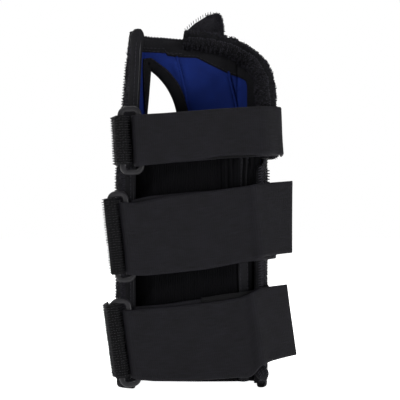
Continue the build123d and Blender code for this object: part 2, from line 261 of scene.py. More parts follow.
def sweep(shape, path, up, section, closed=False, **options):
    """Sweep a section along a path. Its first axis lies across the path and its second along up."""
    path = np.asarray(path, float)
    tangent = unit(np.roll(path, -1, 0) - np.roll(path, 1, 0) if closed else np.gradient(path, axis=0))
    up = np.broadcast_to(np.asarray(up, float), path.shape)
    up = unit(up - np.sum(up * tangent, -1, keepdims=True) * tangent)
    side = np.cross(tangent, up)
    section = np.broadcast_to(section, (len(path),) + np.shape(section)[-2:])
    grid = path[:, None] + section[..., :1] * side[:, None] + section[..., 1:] * up[:, None]
    tube(shape, grid, closed, **options)
    return side, up


def oval(half_width, half_depth, count=20, power=2.6):
    """A section between an ellipse and a rectangle, or one for each of the sizes given."""
    a = np.linspace(0, 2 * pi, count, endpoint=False)
    x, y = (np.sign(c) * np.abs(c) ** (2 / power) for c in (np.cos(a), np.sin(a)))
    return join(x * np.asarray(half_width)[..., None], y * np.asarray(half_depth)[..., None])


def flat_section(width, thick):
    """A band's section: flat, with a thread's bead inside each selvage and round edges."""
    columns, bead = 18, 0.06
    x = np.sin(np.linspace(-pi / 2, pi / 2, columns)) * width / 2
    inside = width / 2 - np.abs(x)
    half = thick / 2 * round_off(1 - inside / (thick * 0.6), 0.02) + bead * bump(inside - 1.2, 0.5)
    return np.concatenate([join(x, half), join(x[::-1], -half[::-1])])


def strands(shape, lines, radii, sides=3, slot=0):
    """Many thin strands at once: lines is (strand, point, xyz), radii one per point."""
    lines = np.asarray(lines, float)
    count, steps = lines.shape[:2]
    tangent = unit(np.gradient(lines, axis=1))
    away = np.broadcast_to(np.array([0.31, 0.17, 0.93]), tangent.shape)
    side = unit(np.cross(tangent, away))
    up = np.cross(side, tangent)
    a = np.arange(sides) * 2 * pi / sides
    radii = np.broadcast_to(radii, (count, steps))[..., None, None]
    turned = np.cos(a)[:, None] * side[:, :, None] + np.sin(a)[:, None] * up[:, :, None]
    points = (lines[:, :, None] + radii * turned).reshape(-1, 3)
    s, i, j = np.meshgrid(np.arange(count), np.arange(steps - 1), np.arange(sides), indexing="ij")
    base = (s * steps + i) * sides
    turn = (j + 1) % sides
    quads = join(base + j, base + sides + j, base + sides + turn, base + turn).reshape(-1, 4)
    first = (np.arange(count) * steps * sides)[:, None] + np.arange(sides)
    ends = np.concatenate([first, first[:, ::-1] + (steps - 1) * sides])
    shape.add(points, [(faces, np.zeros(faces.shape + (2,))) for faces in (quads, ends)], slot)


def inside_loop(points, loop):
    """True for each 2-D point within a closed loop."""
    x, y = points[:, 0:1], points[:, 1:2]
    a, b = loop, np.roll(loop, -1, 0)
    crosses = (a[:, 1] > y) != (b[:, 1] > y)
    with np.errstate(divide="ignore", invalid="ignore"):
        at = (b[:, 0] - a[:, 0]) * (y - a[:, 1]) / (b[:, 1] - a[:, 1]) + a[:, 0]
    return (crosses & (x < at)).sum(1) % 2 == 1


def loop_distance(points, loop):
    """Each 2-D point's distance to a closed loop."""
    a, b = loop, np.roll(loop, -1, 0)
    d = b - a
    t = ((points[:, None] - a) * d).sum(-1) / np.maximum((d * d).sum(-1), 1e-12)
    nearest = a + np.clip(t, 0, 1)[..., None] * d
    return np.linalg.norm(points[:, None] - nearest, axis=-1).min(1)


def cut_panel(loop, holes=(), spacing=1.7):
    """Triangles that fill a 2-D outline, less its holes: (points, triangles, distance to the edge)."""
    outlines = [resample(np.array([*ring, ring[0]], float), spacing)[:-1] for ring in (loop, *holes)]
    in_hole = lambda at: np.any([inside_loop(at, hole) for hole in outlines[1:]], axis=0)
    within = lambda at: inside_loop(at, outlines[0]) & ~in_hole(at)
    to_edge = lambda at: np.min([loop_distance(at, ring) for ring in outlines], axis=0)
    low, high = outlines[0].min(0), outlines[0].max(0)
    rows, columns = np.arange(low[1], high[1], spacing * 0.87), np.arange(low[0], high[0], spacing)
    grid = np.array([(x + (k % 2) * spacing / 2, z) for k, z in enumerate(rows) for x in columns])
    grid = grid[within(grid)]
    grid = grid[to_edge(grid) > spacing * 0.6]
    edges, start = [], len(grid)
    for ring in outlines:
        edges += [(start + k, start + (k + 1) % len(ring)) for k in range(len(ring))]
        start += len(ring)
    points = np.concatenate([grid, *outlines])
    found = delaunay_2d_cdt([Vector(p) for p in points], edges, [], 1, 1e-5)
    points, faces = np.array(found[0]), np.array(found[2])
    return points, faces[within(points[faces].mean(1))], to_edge(points)


def flush(flat, at):
    """No relief."""
    return 0.0


def add_panel(shape, cut, place, thick, puff=0.0, relief=flush, inner_relief=flush):
    """A sewn layer: its outer face swells away from its edges, and its edges are pinched thin."""
    flat, faces, edge = cut
    at, out = place(flat)
    pinch = 1 - np.exp(-edge / 1.2)
    rise = puff * (1 - np.exp(-edge / 5.0)) + relief(flat, at)
    sink = thick * (0.45 + 0.55 * pinch) + inner_relief(flat, at)
    top = at + out * (rise - thick * 0.2 * (1 - pinch))[:, None]
    bottom = at - out * sink[:, None]
    n = len(flat)
    pairs = np.concatenate([faces[:, [0, 1]], faces[:, [1, 2]], faces[:, [2, 0]]])
    key = np.sort(pairs, axis=1)
    _, index, seen = np.unique(key[:, 0] * n + key[:, 1], return_index=True, return_counts=True)
    rim = pairs[index[seen == 1]]
    sides = join(rim[:, 1], rim[:, 0], rim[:, 0] + n, rim[:, 1] + n)
    both = np.concatenate([faces, faces[:, ::-1] + n])
    uv = np.concatenate([flat, flat])
    shape.add(np.concatenate([top, bottom]), [(both, uv[both]), (sides, uv[sides])])
    return top[faces], out[faces].mean(1)


def scatter(triangles, normals, per_mm2):
    """Random places spread evenly over triangles: (points, normals)."""
    a, b, c = triangles[:, 0], triangles[:, 1], triangles[:, 2]
    area = np.linalg.norm(np.cross(b - a, c - a), axis=1) / 2
    count = int(area.sum() * per_mm2)
    pick = rng.choice(len(area), count, p=area / area.sum())
    u, v = rng.random((2, count, 1))
    u, v = np.where(u + v > 1, 1 - u, u), np.where(u + v > 1, 1 - v, v)
    return a[pick] + u * (b[pick] - a[pick]) + v * (c[pick] - a[pick]), unit(normals[pick])


def add_pile(shape, places, length, thickness=0.13, slot=0):
    """Short curled loops of pile that stand on a surface."""
    at, out = places
    count, lean = len(at), 0.7
    sway = unit(np.cross(out, rng.normal(size=(count, 3))))
    size = length * rng.uniform(0.55, 1.2, (count, 1))
    bend = lean * rng.uniform(0.3, 1.0, (count, 1))
    steps = ((0.55, 0.25), (1.0, 1.0), (0.75, 1.7))
    curl = [at + out * size * tall + sway * size * bend * far for tall, far in steps]
    radii = np.array([1.0, 1.0, 0.8, 0.45]) * thickness
    strands(shape, np.stack([at - out * 0.25, *curl], 1), radii, slot=slot)


def grid_triangles(grid):
    """The triangles of a swept grid, closed round its rings."""
    a, d = grid[:-1], grid[1:]
    b, c = np.roll(a, -1, 1), np.roll(d, -1, 1)
    return np.concatenate([np.stack(corners, -2).reshape(-1, 3, 3) for corners in ((a, d, c), (a, c, b))])


# ---- Materials --------------------------------------------------------------------------------
class Nodes:
    """A material's node tree, with a Principled shader at its end."""

    def __init__(self, name):
        self.material = bpy.data.materials.new(name)
        self.material.use_nodes = True
        self.tree = self.material.node_tree
        self.shader = self.tree.nodes["Principled BSDF"]

    def add(self, kind, inputs=None, **settings):
        node = self.tree.nodes.new("ShaderNode" + kind)
        for key, value in settings.items():
            setattr(node, key, value)
        for key, value in (inputs or {}).items():
            self.set(node.inputs[key], value)
        return node

    def set(self, socket, value):
        if isinstance(value, bpy.types.NodeSocket):
            self.tree.links.new(value, socket)
        else:
            socket.default_value = value

    def mix(self, first, second, share):
        """Two values, with the second's share."""
        math = lambda operation, a, b: self.add("Math", {0: a, 1: b}, operation=operation).outputs[0]
        return math("ADD", math("MULTIPLY", first, 1 - share), math("MULTIPLY", second, share))

    def spread(self, value, *limits):
        """A value mapped from the first two limits to the last two; None leaves a limit as it is."""
        given = {k: limit for k, limit in enumerate(limits, 1) if limit is not None}
        return self.add("MapRange", {"Value": value, **given}).outputs[0]

    def wear_and_highlight(self, *limits):
        """How much painted highlight and rubbing wear a place gets: more on edges that stand out."""
        return self.spread(self.add("NewGeometry").outputs["Pointiness"], *limits)

    def noise(self, where, size, detail=2.0):
        return self.add("TexNoise", {"Vector": where, "Scale": 1 / (size * MM), "Detail": detail}).outputs[0]

    def wave(self, where, pitch, direction, warp=0.0):
        """Ridges from 0 to 1, a pitch apart."""
        scale = 2 * pi / 20 / (pitch * MM)
        turns = {"Vector": where, "Scale": scale, "Distortion": warp, "Detail": 1.0, "Detail Scale": 1.0}
        return self.add("TexWave", turns, bands_direction=direction, wave_profile="SIN").outputs[1]

    def blend(self, factor, first, second):
        return self.add("Mix", {0: factor, 6: first, 7: second}, data_type="RGBA").outputs[2]

    def finish(self, colour, rough, height, depth, **sockets):
        """Colour, roughness and bump (depth in mm), and values for the shader's own sockets."""
        self.set(self.shader.inputs["Base Color"], colour)
        self.set(self.shader.inputs["Roughness"], rough)
        bump = self.add("Bump", {"Height": height, "Distance": depth * MM, "Strength": 1.0})
        self.set(self.shader.inputs["Normal"], bump.outputs[0])
        for key, value in sockets.items():
            self.shader.inputs[key].default_value = value
        return self.material


def rgb(r, g, b):
    """A colour from 8-bit sRGB values."""
    linear = lambda c: ((c / 255 + 0.055) / 1.055) ** 2.4 if c > 10 else c / 255 / 12.92
    return linear(r), linear(g), linear(b), 1.0


def cloth(
    name, dark, light, rib=None, cross=None, depth=0.12, mottle=0.35, rough=0.9, gloss=0.12, fuzz=0.6,
    streak=0.0,
):
    """Woven or knitted cloth: ribs along and across its weave UV, mottled, and lighter on its edges with
    rubbing wear and a painted highlight.
    """
    n = Nodes(name)
    uv = n.add("UVMap", uv_map="weave").outputs[0]
    place = n.add("TexCoord").outputs["Object"]
    height = n.noise(place, fuzz, 3.0)
    for pitch, direction, share in ((rib, "X", 0.5), (cross, "Y", 0.35)):
        if pitch:
            height = n.mix(height, n.wave(uv, pitch, direction, 0.6), share)
    if streak:
        drawn_out = n.add("Mapping", {"Vector": uv, "Scale": (0.1, 1.0, 1.0)}).outputs[0]
        height = n.mix(height, n.noise(drawn_out, 0.75, 3.0), streak)
    tone = n.spread(n.mix(height, n.noise(place, 9.0), mottle), 0.36, 0.64)
    # Edges and bends that stand out get a lighter colour: a painted highlight, with some rubbing wear.
    rubbed_and_highlit = tuple(c * 1.5 for c in light[:3]) + (1.0,)
    colour = n.blend(n.wear_and_highlight(0.52, 0.6, 0.0, 0.35), n.blend(tone, dark, light), rubbed_and_highlit)
    roughness = n.spread(height, None, None, rough - 0.12, min(rough + 0.08, 1.0))
    return n.finish(colour, roughness, height, depth, **{"Specular IOR Level": gloss})


def hard(name, dark, light, rough, grain, depth, metal=0.0, gloss=0.5, stretch=(1, 1, 1)):
    """Moulded plastic, boning or brushed metal, with fine scuffs, and edges lighter with rubbing wear and a
    painted highlight.
    """
    n = Nodes(name)
    place = n.add("Mapping", {"Vector": n.add("TexCoord").outputs["Object"], "Scale": stretch}).outputs[0]
    fine = n.noise(place, grain, 4.0)
    tone = n.spread(n.mix(fine, n.noise(place, 7.0), 0.5), 0.35, 0.65)
    # Edges that stand out get a lighter colour: a painted highlight, with some rubbing wear.
    rubbed_and_highlit = tuple(min(c * 1.8, 1) for c in light[:3]) + (1.0,)
    colour = n.blend(n.wear_and_highlight(0.52, 0.62, 0.0, 0.5), n.blend(tone, dark, light), rubbed_and_highlit)
    roughness = n.spread(fine, 0.3, 0.7, rough - 0.08, rough + 0.12)
    return n.finish(colour, roughness, fine, depth, **{"Metallic": metal, "Specular IOR Level": gloss})


elastic = cloth(
    "elastic", rgb(1, 1, 2), rgb(18, 17, 23), rib=1.1, cross=0.55, depth=0.4, mottle=0.12, gloss=0.14,
    rough=0.72, streak=0.55,
)
laminate = cloth("laminate", rgb(10, 10, 12), rgb(38, 37, 42), fuzz=0.5, depth=0.3, gloss=0.10)
pile = cloth("pile", rgb(5, 5, 7), rgb(42, 41, 47), fuzz=0.7, depth=0.3, gloss=0.10)
roll_cloth = cloth("roll_cloth", rgb(3, 3, 4), rgb(20, 20, 23), fuzz=0.7, depth=0.3, gloss=0.10)
binding = cloth("binding", rgb(12, 12, 14), rgb(25, 25, 28), rib=0.7, cross=0.7, depth=0.08, gloss=0.10)
jersey = cloth("blue_jersey", rgb(10, 24, 74), rgb(20, 40, 108), rib=0.5, cross=0.35, depth=0.06, fuzz=0.4)
ribbing = cloth("ribbing", rgb(1, 1, 2), rgb(6, 6, 8), cross=0.8, depth=0.1, gloss=0.06)
hook_base = cloth("hook_tape", rgb(2, 2, 3), rgb(9, 9, 11), rib=1.2, cross=1.2, depth=0.12, gloss=0.15)
thread = cloth("thread", rgb(22, 22, 25), rgb(44, 43, 49), fuzz=0.3, depth=0.05, gloss=0.15)
hook_wire = hard("hook_wire", rgb(4, 4, 5), rgb(24, 24, 27), 0.5, 0.7, 0.02, gloss=0.25)
moulded = hard("moulded_loop", rgb(14, 14, 16), rgb(24, 23, 27), 0.4, 0.35, 0.03, gloss=0.25)
aluminium = hard(
    "aluminium", rgb(112, 113, 116), rgb(150, 150, 153), 0.38, 0.5, 0.02, metal=1.0, stretch=(6, 6, 0.4)
)
boning = hard("boning", rgb(26, 26, 28), rgb(40, 40, 43), 0.45, 0.4, 0.02)


# ---- Sleeve wall ------------------------------------------------------------------------------
def outline(height, inset):
    """The sleeve's closed outline at a height, from the closing side's middle round by the thumb."""
    lean = top_lean * np.clip((height - lean_start) / (lean_end - lean_start), 0, None)
    left, right = thumb_face + lean + inset, little_face - inset
    front, back = closing_face + inset, palm_face - inset
    rf, rb = closing_radius - inset, palm_radius - inset
    corners = [(left + rf, front + rf, rf, -90), (left + rb, back - rb, rb, 180)]
    corners += [(right - rb, back - rb, rb, 90), (right - rf, front + rf, rf, 0)]
    start = [(0.0, front)]
    arcs = []
    for x, y, r, first in corners:
        a = np.radians(np.linspace(first, first - 90, 25))
        arcs.append(join(x + r * np.cos(a), y + r * np.sin(a)))
    return np.concatenate([start, *arcs, start])


class Wall:
    """The sleeve's wall at a depth, from one edge round to another: call it with (arc, height)."""

    step, columns = 2.0, 160
    heights = np.arange(0.0, 201.0, step)

    def __init__(self, start, end, inset):
        """start and end are (part of the outline, x at each height)."""
        rows = []
        for z in self.heights:
            line = outline(z, inset)
            along = lengths(line)
            ends = [self.find(line, along, part, x(z)) for part, x in (start, end)]
            at = np.linspace(*ends, self.columns + 1)
            rows.append(follow(line, along, at))
        self.rows = np.array(rows)
        self.length = lengths(self.rows[0])[-1]

    @staticmethod
    def find(line, along, part, x):
        back_end = len(line) // 2 + 20
        parts = {"front_left": slice(0, 26), "back": slice(30, 73), "front_right": slice(back_end, len(line))}
        chosen = parts[part]
        xs, s = line[chosen, 0], along[chosen]
        order = np.argsort(xs)
        return np.interp(x, xs[order], s[order])

    @classmethod
    def row(cls, height):
        """A height as a place in heights."""
        return np.clip(height, 0, cls.heights[-1] - 0.1) / cls.step

    def __call__(self, flat):
        """(points, outward normals) for (arc in mm at the foot, height)."""
        last = self.columns
        f, h = np.clip(flat[:, 0] / self.length, 0, 1) * last, self.row(flat[:, 1])
        i, j = h.astype(int), np.clip(f.astype(int), 0, last - 1)
        a, b = (h - i)[:, None], (f - j)[:, None]
        before, after = np.clip(j - 1, 0, last), np.clip(j + 2, 0, last)
        run = unit(self.rows[i, after] - self.rows[i, before])
        xy = bilinear(self.rows, i, j, a, b)
        return np.concatenate([xy, flat[:, 1:]], -1), join(-run[:, 1], run[:, 0], 0.0)


def rail_x(z, edge=0.5):
    """The rail's x at a height, from its left side (0) to its right side (1)."""
    left = np.interp(z, [lean_start, lean_end], [-39.7, -36.0])
    right = np.interp(z, [lean_start, lean_end], [-33.5, -29.6])
    return left + edge * (right - left)


def radial_wall(inset):
    return Wall(("front_left", lambda z: rail_x(z, 0.2)), ("back", lambda z: thumb_seam), inset)


def ulnar_wall(inset):
    return Wall(("back", lambda z: little_seam), ("front_right", lambda z: 31.8), inset)


def hole_outline(border, border_thumb):
    """The thumb hole's outline, grown by a border, as (x, height)."""
    count = 14
    left, right = -29.5 - border_thumb, -13.4 + border
    top, shoulder, bottom = 168.4 + border, 142 + border * 0.5, 116 - border
    r = (right - left) / 2
    side = join(left, np.linspace(bottom + r, top - 4, count))
    bow = Vector((left + 0.68 * (right - left), 142 + border + 0.56 * 26.4))
    t = np.linspace(0, 1, count * 2)[1:, None]
    tip, end = np.array([left, top]), np.array([right, shoulder])
    control = 2 * np.array(bow) - (tip + end) / 2
    over = (1 - t) ** 2 * tip + 2 * t * (1 - t) * control + t**2 * end
    down = join(right, np.linspace(shoulder - 1.5, bottom + r, count))
    a = np.linspace(0, -pi, count + 2)[1:-1]
    under = join((left + right) / 2 + r * np.cos(a), bottom + r + r * np.sin(a))
    return np.concatenate([side, [tip], over, down, under])


def top_of(points, places):
    """Heights along a top edge given as (place, height) points."""
    order = np.argsort([p[0] for p in points])
    return np.interp(places, np.array(points)[order, 0], np.array(points)[order, 1])


def palm_loop(left, right, foot, drop=0.0):
    """The palm panel's outline, as (x, height)."""
    x = np.linspace(right, left, 30)
    return np.concatenate([[(left, foot)], [(right, foot)], join(x, top_of(palm_top, x) - drop)])


def little_edge(place, arc, drop=0.0):
    """The sloped top edge on the little finger's side, as (arc, height)."""
    ys = place(join(arc, 0.0))[0][:, 1]
    return join(arc, top_of(little_top, ys) - drop)


def palm_place(inset):
    """Place (x, height) on the palm panel."""
    lines = [outline(z, inset)[30:73] for z in Wall.heights]
    columns = 120
    xs = np.linspace(thumb_seam - 1, little_seam + 1, columns)
    table = np.array([np.interp(xs, line[:, 0], line[:, 1]) for line in lines])

    def place(flat):
        h = Wall.row(flat[:, 1])
        f = np.clip((flat[:, 0] - xs[0]) / (xs[1] - xs[0]), 0, columns - 1.01)
        i, j = h.astype(int), f.astype(int)
        slope = (table[i, j + 1] - table[i, j]) / (xs[1] - xs[0])
        y = bilinear(table, i, j, h - i, f - j)
        return join(flat[:, 0], y, flat[:, 1]), unit(join(-slope, 1.0, 0.0))

    return place


def wrinkles(size, height, seed):
    """Relief of soft wrinkles."""
    return lambda flat, at: height * ripple(at, size, seed)


def line_distance(flat, start, end):
    """Signed distance from a line in the flat, and how far past its ends a point lies."""
    a, b = np.array(start, float), np.array(end, float)
    run = unit(b - a)
    side = np.array([-run[1], run[0]])
    along = (flat - a) @ run
    past = np.maximum(0, np.maximum(-along, along - np.linalg.norm(b - a)))
    return (flat - a) @ side, past


def make_shell():
    """The foam laminate panels, with their looped outer face."""
    radial, ulnar, palm = radial_wall(0), ulnar_wall(0), palm_place(0)
    square = [(0, wall_foot), (radial.length, wall_foot), (radial.length, wall_top), (0, wall_top)]
    slope = little_edge(ulnar, np.linspace(ulnar.length, 0, 60))
    sloped = np.concatenate([[(0, wall_foot), (ulnar.length, wall_foot)], slope])
    palm_outline, hole = palm_loop(thumb_seam, little_seam, wall_foot), hole_outline(0.9, 0.7)
    for side, place, cut, puff, relief, density, tall in (
        ("radial", radial, cut_panel(square), 0.5, wrinkles(9, 0.25, 1), 0.75, 0.75),
        ("palmar", palm, cut_panel(palm_outline, [hole]), 0.4, wrinkles(11, 0.2, 2), 0.6, 0.7),
        ("ulnar", ulnar, cut_panel(sloped), 0.5, wrinkles(9, 0.25, 3), 0.75, 0.75),
    ):
        s = Shape()
        faces, normals = add_panel(s, cut, place, shell, puff=puff, relief=relief)
        if side == "palmar":  # the pocket covers the middle, and the hem the foot
            x, _, z = faces.mean(1).T
            keep = (np.abs(x - pocket_x) > pocket_half) & (z > 4)
            faces, normals = faces[keep], normals[keep]
        add_pile(s, scatter(faces, normals, density), tall)
        piece = s.build(f"{side}_panel_shell", [laminate], stands_for=[f"{side}_panel"])


# The lining's two slanted seams, its facing's lower edge and where it may fold, as (x, height).
seams = [((-13.4, 174), (-2.2, 127)), ((14.2, 166), (21.5, 134))]
facing_edge = [
    (little_seam, 163.0), (14.4, 164.6), (6.2, 168.7), (-2.8, 173.2),
    (-13.4, 173.6), (-18.6, 174.4), (-20.2, 177.3), (thumb_seam, 177.3),
]
window_left, window_right = thumb_seam - 3, little_seam + 3
lining_window = np.array(
    [(window_left, 0), (window_right, 0), (window_right, 163.0), *facing_edge[1:-1], (window_left, 177.3)]
)


def lining_relief(flat, at):
    """The lining's inner face: soft folds, and a sunk seam with puckers beside it."""
    round_hole = hole_outline(6.5, 1.2)
    fade = ramp(loop_distance(flat, lining_window), 3) * inside_loop(flat, lining_window)
    fade = fade * ramp(loop_distance(flat, round_hole), 3) * (1 - inside_loop(flat, round_hole))
    sink = (0.35 * ripple(at, 14, 5) + 0.15 * ripple(at, 5, 6)) * fade
    pucker = 0.1 * np.sin(flat[:, 1] * 2 * pi / 4.2)
    for start, end in seams:
        side, past = line_distance(flat, start, end)
        near = bump(past, 3) * fade
        sink -= near * (1.5 * bump(side, 1.1) + pucker * bump(side, 2.6))
        sink += near * 2.1 * np.exp(-np.clip(-side, 0, None) / 4) * (side < 0)
    return sink


def make_lining():
    """The blue jersey lining of the three panels."""
    depth = shell + 0.05
    radial, ulnar, palm = radial_wall(depth), ulnar_wall(depth), palm_place(depth)
    plain = lambda flat, at: 0.3 * ripple(at, 12, 7) + 0.12 * ripple(at, 4, 8)
    s = Shape()
    loop = [(0.5, wall_foot), (radial.length, wall_foot), (radial.length, wall_top - 2), (0.5, wall_top - 2)]
    add_panel(s, cut_panel(loop, spacing=2.0), radial, lining, inner_relief=plain)
    piece = s.build("radial_lining_cloth", [jersey], stands_for=["radial_lining"])

    s = Shape()
    loop, hole = palm_loop(thumb_seam, little_seam, wall_foot, 2.0), hole_outline(0.9, 0.7)
    add_panel(s, cut_panel(loop, [hole], spacing=1.15), palm, lining, inner_relief=lining_relief)
    for ends in seams:
        path, out = palm_place(shell + lining + 0.35)(resample(np.array(ends, float), 1.0))
        path = path + [0.35, 0, 0] * ripple(path, 9, 25)[:, None]
        sweep(s, path, out, oval(0.7, 0.55, 12))
    piece = s.build("palmar_lining_cloth", [jersey], stands_for=["palmar_lining"])

    s = Shape()
    right = ulnar.length - 2.5
    slope = little_edge(ulnar, np.linspace(right, 0, 60), 1.5)
    loop = np.concatenate([[(0, wall_foot), (right, wall_foot)], slope])
    add_panel(s, cut_panel(loop, spacing=2.0), ulnar, lining, inner_relief=plain)
    piece = s.build("ulnar_lining_cloth", [jersey], stands_for=["ulnar_lining"])


def make_facing():
    """The dark facing along the lining's top and down the little finger's side."""
    s = Shape()
    palm_in, ulnar_in = palm_place(wall - 0.2), ulnar_wall(wall - 0.2)
    x = np.linspace(thumb_seam, little_seam, 24)
    loop = np.concatenate([facing_edge, join(x, top_of(palm_top, x) - 0.5)])
    add_panel(s, cut_panel(loop, spacing=1.3), palm_in, 0.9, inner_relief=wrinkles(7, 0.25, 9))
    left, right, foot = 5.5, ulnar_in.length - 0.5, 88
    slope = little_edge(ulnar_in, np.linspace(0.0, right, 40), 0.5)
    loop = np.concatenate([slope, [(right, foot), (left, foot), (left, 158), (left - 1, 161), (0, 163.2)]])
    add_panel(s, cut_panel(loop, spacing=1.3), ulnar_in, 0.9, inner_relief=wrinkles(7, 0.25, 10))
    line = resample(np.array(facing_edge), 1.0) + [0, 1.1]
    path, out = palm_place(wall + 0.85)(line)
    dashes(s, path, -out, pitch=2.2, length=1.5, radius=0.14)
    s.build("lining_facing", [binding, thread])


# ---- Edges and bindings -----------------------------------------------------------------------
def zone_line(heights, left, right, inset, part):
    """The middle line between two x places at each height, its outward normals and half its width."""
    rows = []
    for z, *places in zip(*np.broadcast_arrays(heights, left, right)):
        line = outline(z, inset)
        along = lengths(line)
        ends = [Wall.find(line, along, part, x) for x in places]
        before, here, after = follow(line, along, sum(ends) / 2 + np.array([-0.3, 0, 0.3]))
        run = unit(after - before)
        rows.append([*here, z, -run[1], run[0], 0, abs(ends[1] - ends[0]) / 2])
    rows = np.array(rows)
    return rows[:, :3], rows[:, 3:6], rows[:, 6]


def dashes(shape, path, out, pitch=2.6, length=1.7, radius=0.16, lift=0.12, slot=1):
    """A row of lock stitches along a path; out is one direction, or one for each point."""
    along = lengths(path)
    starts = np.arange(pitch / 2, along[-1] - length, pitch)
    at = starts[:, None] + np.array([0, 0.15, 0.5, 0.85, 1.0]) * length
    rise = np.array([-0.25, 0.7, 1.0, 0.7, -0.25]) * lift
    out = np.broadcast_to(out, path.shape)
    lines = follow(path, along, at) + rise[:, None] * follow(out, along, at)
    strands(shape, lines, np.array([0.6, 1, 1, 1, 0.6]) * radius, sides=5, slot=slot)


def zigzag(shape, path, side, out, width, pitch=1.3, radius=0.16, slant=0.5, bulge=0.25, slot=1):
    """Overlock: slanted threads across a band, bulging over it, one every pitch."""
    along = lengths(path)
    starts = np.arange(pitch, along[-1] - pitch, pitch)
    t = np.linspace(0, 1, 6)
    at = starts[:, None] + t * pitch * slant + rng.normal(0, 0.08, (len(starts), 1))
    across, rise = (t - 0.5) * width, bulge * np.sin(t * pi) - 0.1
    side, out = (np.broadcast_to(way, path.shape) for way in (side, out))
    lines = follow(path, along, at) + across[:, None] * follow(side, along, at)
    lines = lines + rise[:, None] * follow(out, along, at)
    strands(shape, lines, np.array([0.7, 1, 1, 1, 1, 0.7]) * radius, sides=5, slot=slot)


to_right, to_palm = np.array([1.0, 0.0, 0.0]), np.array([0.0, 1.0, 0.0])


def make_rail():
    """The padded channel along the thumb's closing edge, with its round head and overlocked side."""
    foot, top = 1.0, wall_top + 2.0
    z = np.concatenate([np.arange(foot, top - 12, 1.5), np.linspace(top - 12, top - 0.8, 16)])
    path, out, half = zone_line(z, rail_x(z, 0) + 1.5, rail_x(z, 1) - 1.5, 1.5, "front_left")
    from_top = top - z
    bulb, waist = bump(from_top - 5, 3.4), bump(from_top - 13, 3.0)
    width = half + 0.4 + 0.12 * np.sin(z / 5.3) + 0.9 * bulb - 0.35 * waist
    depth = 2.4 + 0.35 * bulb
    head = round_off(1 - from_top / 4.4, 0.01)
    s = Shape()
    side, up = sweep(s, path, out, oval(width * head, depth * head, 24), dome=0.4)
    stitch = slice(2, -9)
    for shift in (-0.78, 0.78):
        line = path + side * (width * shift)[:, None] + up * (depth * 0.86)[:, None]
        dashes(s, line[stitch], up[stitch], pitch=2.2, length=1.5)
    thumbward = side * np.sign(-side[0, 0])
    line = path + thumbward * (width + 0.9)[:, None] + up * 0.8
    zigzag(s, line[stitch], side[stitch], up[stitch], 2.6, pitch=1.2, radius=0.22, bulge=0.8)
    edge = zone_line(np.arange(6.0, wall_top - 12, 1.5), -60.0, -60.0, -0.2, "front_left")[0]
    edge = edge + [0.1, -3.5, 0.0]
    zigzag(s, edge, to_palm, -to_right, 5.0, pitch=1.45, radius=0.26, slant=0.3, bulge=1.5)
    # Frayed loops along the thumb's side, up to the head.
    line = path + thumbward * (width + 1.6)[:, None] + up * 0.2
    pick = rng.uniform(0, 1, 1500)
    share = np.linspace(0, 1, len(line) - 10)
    at, lean = (follow(values[:-10], share, pick) for values in (line, thumbward * 0.8 + up * 0.6))
    add_pile(s, (at + rng.normal(0, 0.6, at.shape), unit(lean)), 1.3, thickness=0.17, slot=1)
    s.build("left_rail_pad", [binding, thread], stands_for=["left_rail"])


def make_right_edge():
    """The overlocked closing edge on the little finger's side."""
    z = np.arange(2.6, edge_top - 0.3, 1.5)
    path, out, half = zone_line(z, 28.3, 31.0, 1.5, "front_right")
    taper = np.clip((edge_top - z) / 3, 0.25, 1)
    s = Shape()
    side, up = sweep(s, path, out, oval((half + 0.9) * taper, 2.4, 20))
    outward = side * np.sign(side[0, 0])
    front = path + up * 2.35
    chevron = dict(width=2.6, pitch=1.35, radius=0.3, bulge=0.5)
    zigzag(s, front - outward * 1.5, outward, up, slant=1.0, **chevron)
    zigzag(s, front + outward * 1.2, outward, up, slant=-1.0, **chevron)
    line = path + up * 1.8 - outward * 2.7
    zigzag(s, line, unit(outward + up * 0.5), unit(up - outward * 0.5), slant=0.8, **chevron)
    edge = join(little_face + 0.1, -10.5, z)
    for part, bulge in ((z >= 90, 2.0), (z < 90, 0.9)):
        zigzag(s, edge[part], to_palm, to_right, 6.0, pitch=1.5, radius=0.28, slant=0.25, bulge=bulge)
    s.build("right_edge_tape", [binding, thread], stands_for=["right_edge_binding"])


def make_right_knob():
    """The tip of the right edge's stay pocket, bent round the corner at the foot."""
    low, high = box("right_knob")
    start = np.array([low[0] + 2.2, high[1] - 1.0, high[2] - 1.5])
    end = np.array([high[0] - 2.6, low[1] + 2.2, low[2] + 2.4])
    bend = np.array([(start[0] + end[0]) / 2 - 0.6, low[1] + 2.6, high[2] - 3.0])
    path = rounded([start, bend, end], 4, 0.6)
    t = np.linspace(0, 1, len(path))
    swell, tip = 3.0 + 0.5 * np.sin(t * pi), round_off((t - 0.72) / 0.29, 0.02)
    s = Shape()
    side, up = sweep(s, path, (0.3, -1, 0.25), oval(swell * tip, 2.3 * tip, 20), dome=0.3)
    path, side, up = path[:-3], side[:-3], up[:-3]
    for shift in (-1.9, 0.0, 1.9):
        zigzag(s, path + side * shift + up * 2.1, side, up, 1.7, pitch=1.1, radius=0.2, slant=1.0)
    s.build("right_knob_pad", [binding, thread], stands_for=["right_knob"])


def make_hem():
    """The bottom hem: a tape wrapped over the raw edge."""
    hem = Wall(("front_left", lambda z: rail_x(z, 0.7)), ("front_right", lambda z: 30.5), wall / 2)
    arc = np.linspace(0, hem.length, 160)
    path, out = hem(join(arc, 2.5))
    s = Shape()
    side, up = sweep(s, path, out, oval(2.5, 2.15 + 0.12 * np.sin(arc * 1.3), 20, 3.2))
    upward = side * np.sign(side[0, 2])
    for face in (1, -1):
        dashes(s, path + up * face * 2.1 + upward * 1.7, up * face, pitch=2.6)
    s.build("bottom_hem_tape", [binding, thread], stands_for=["bottom_rim_binding"])


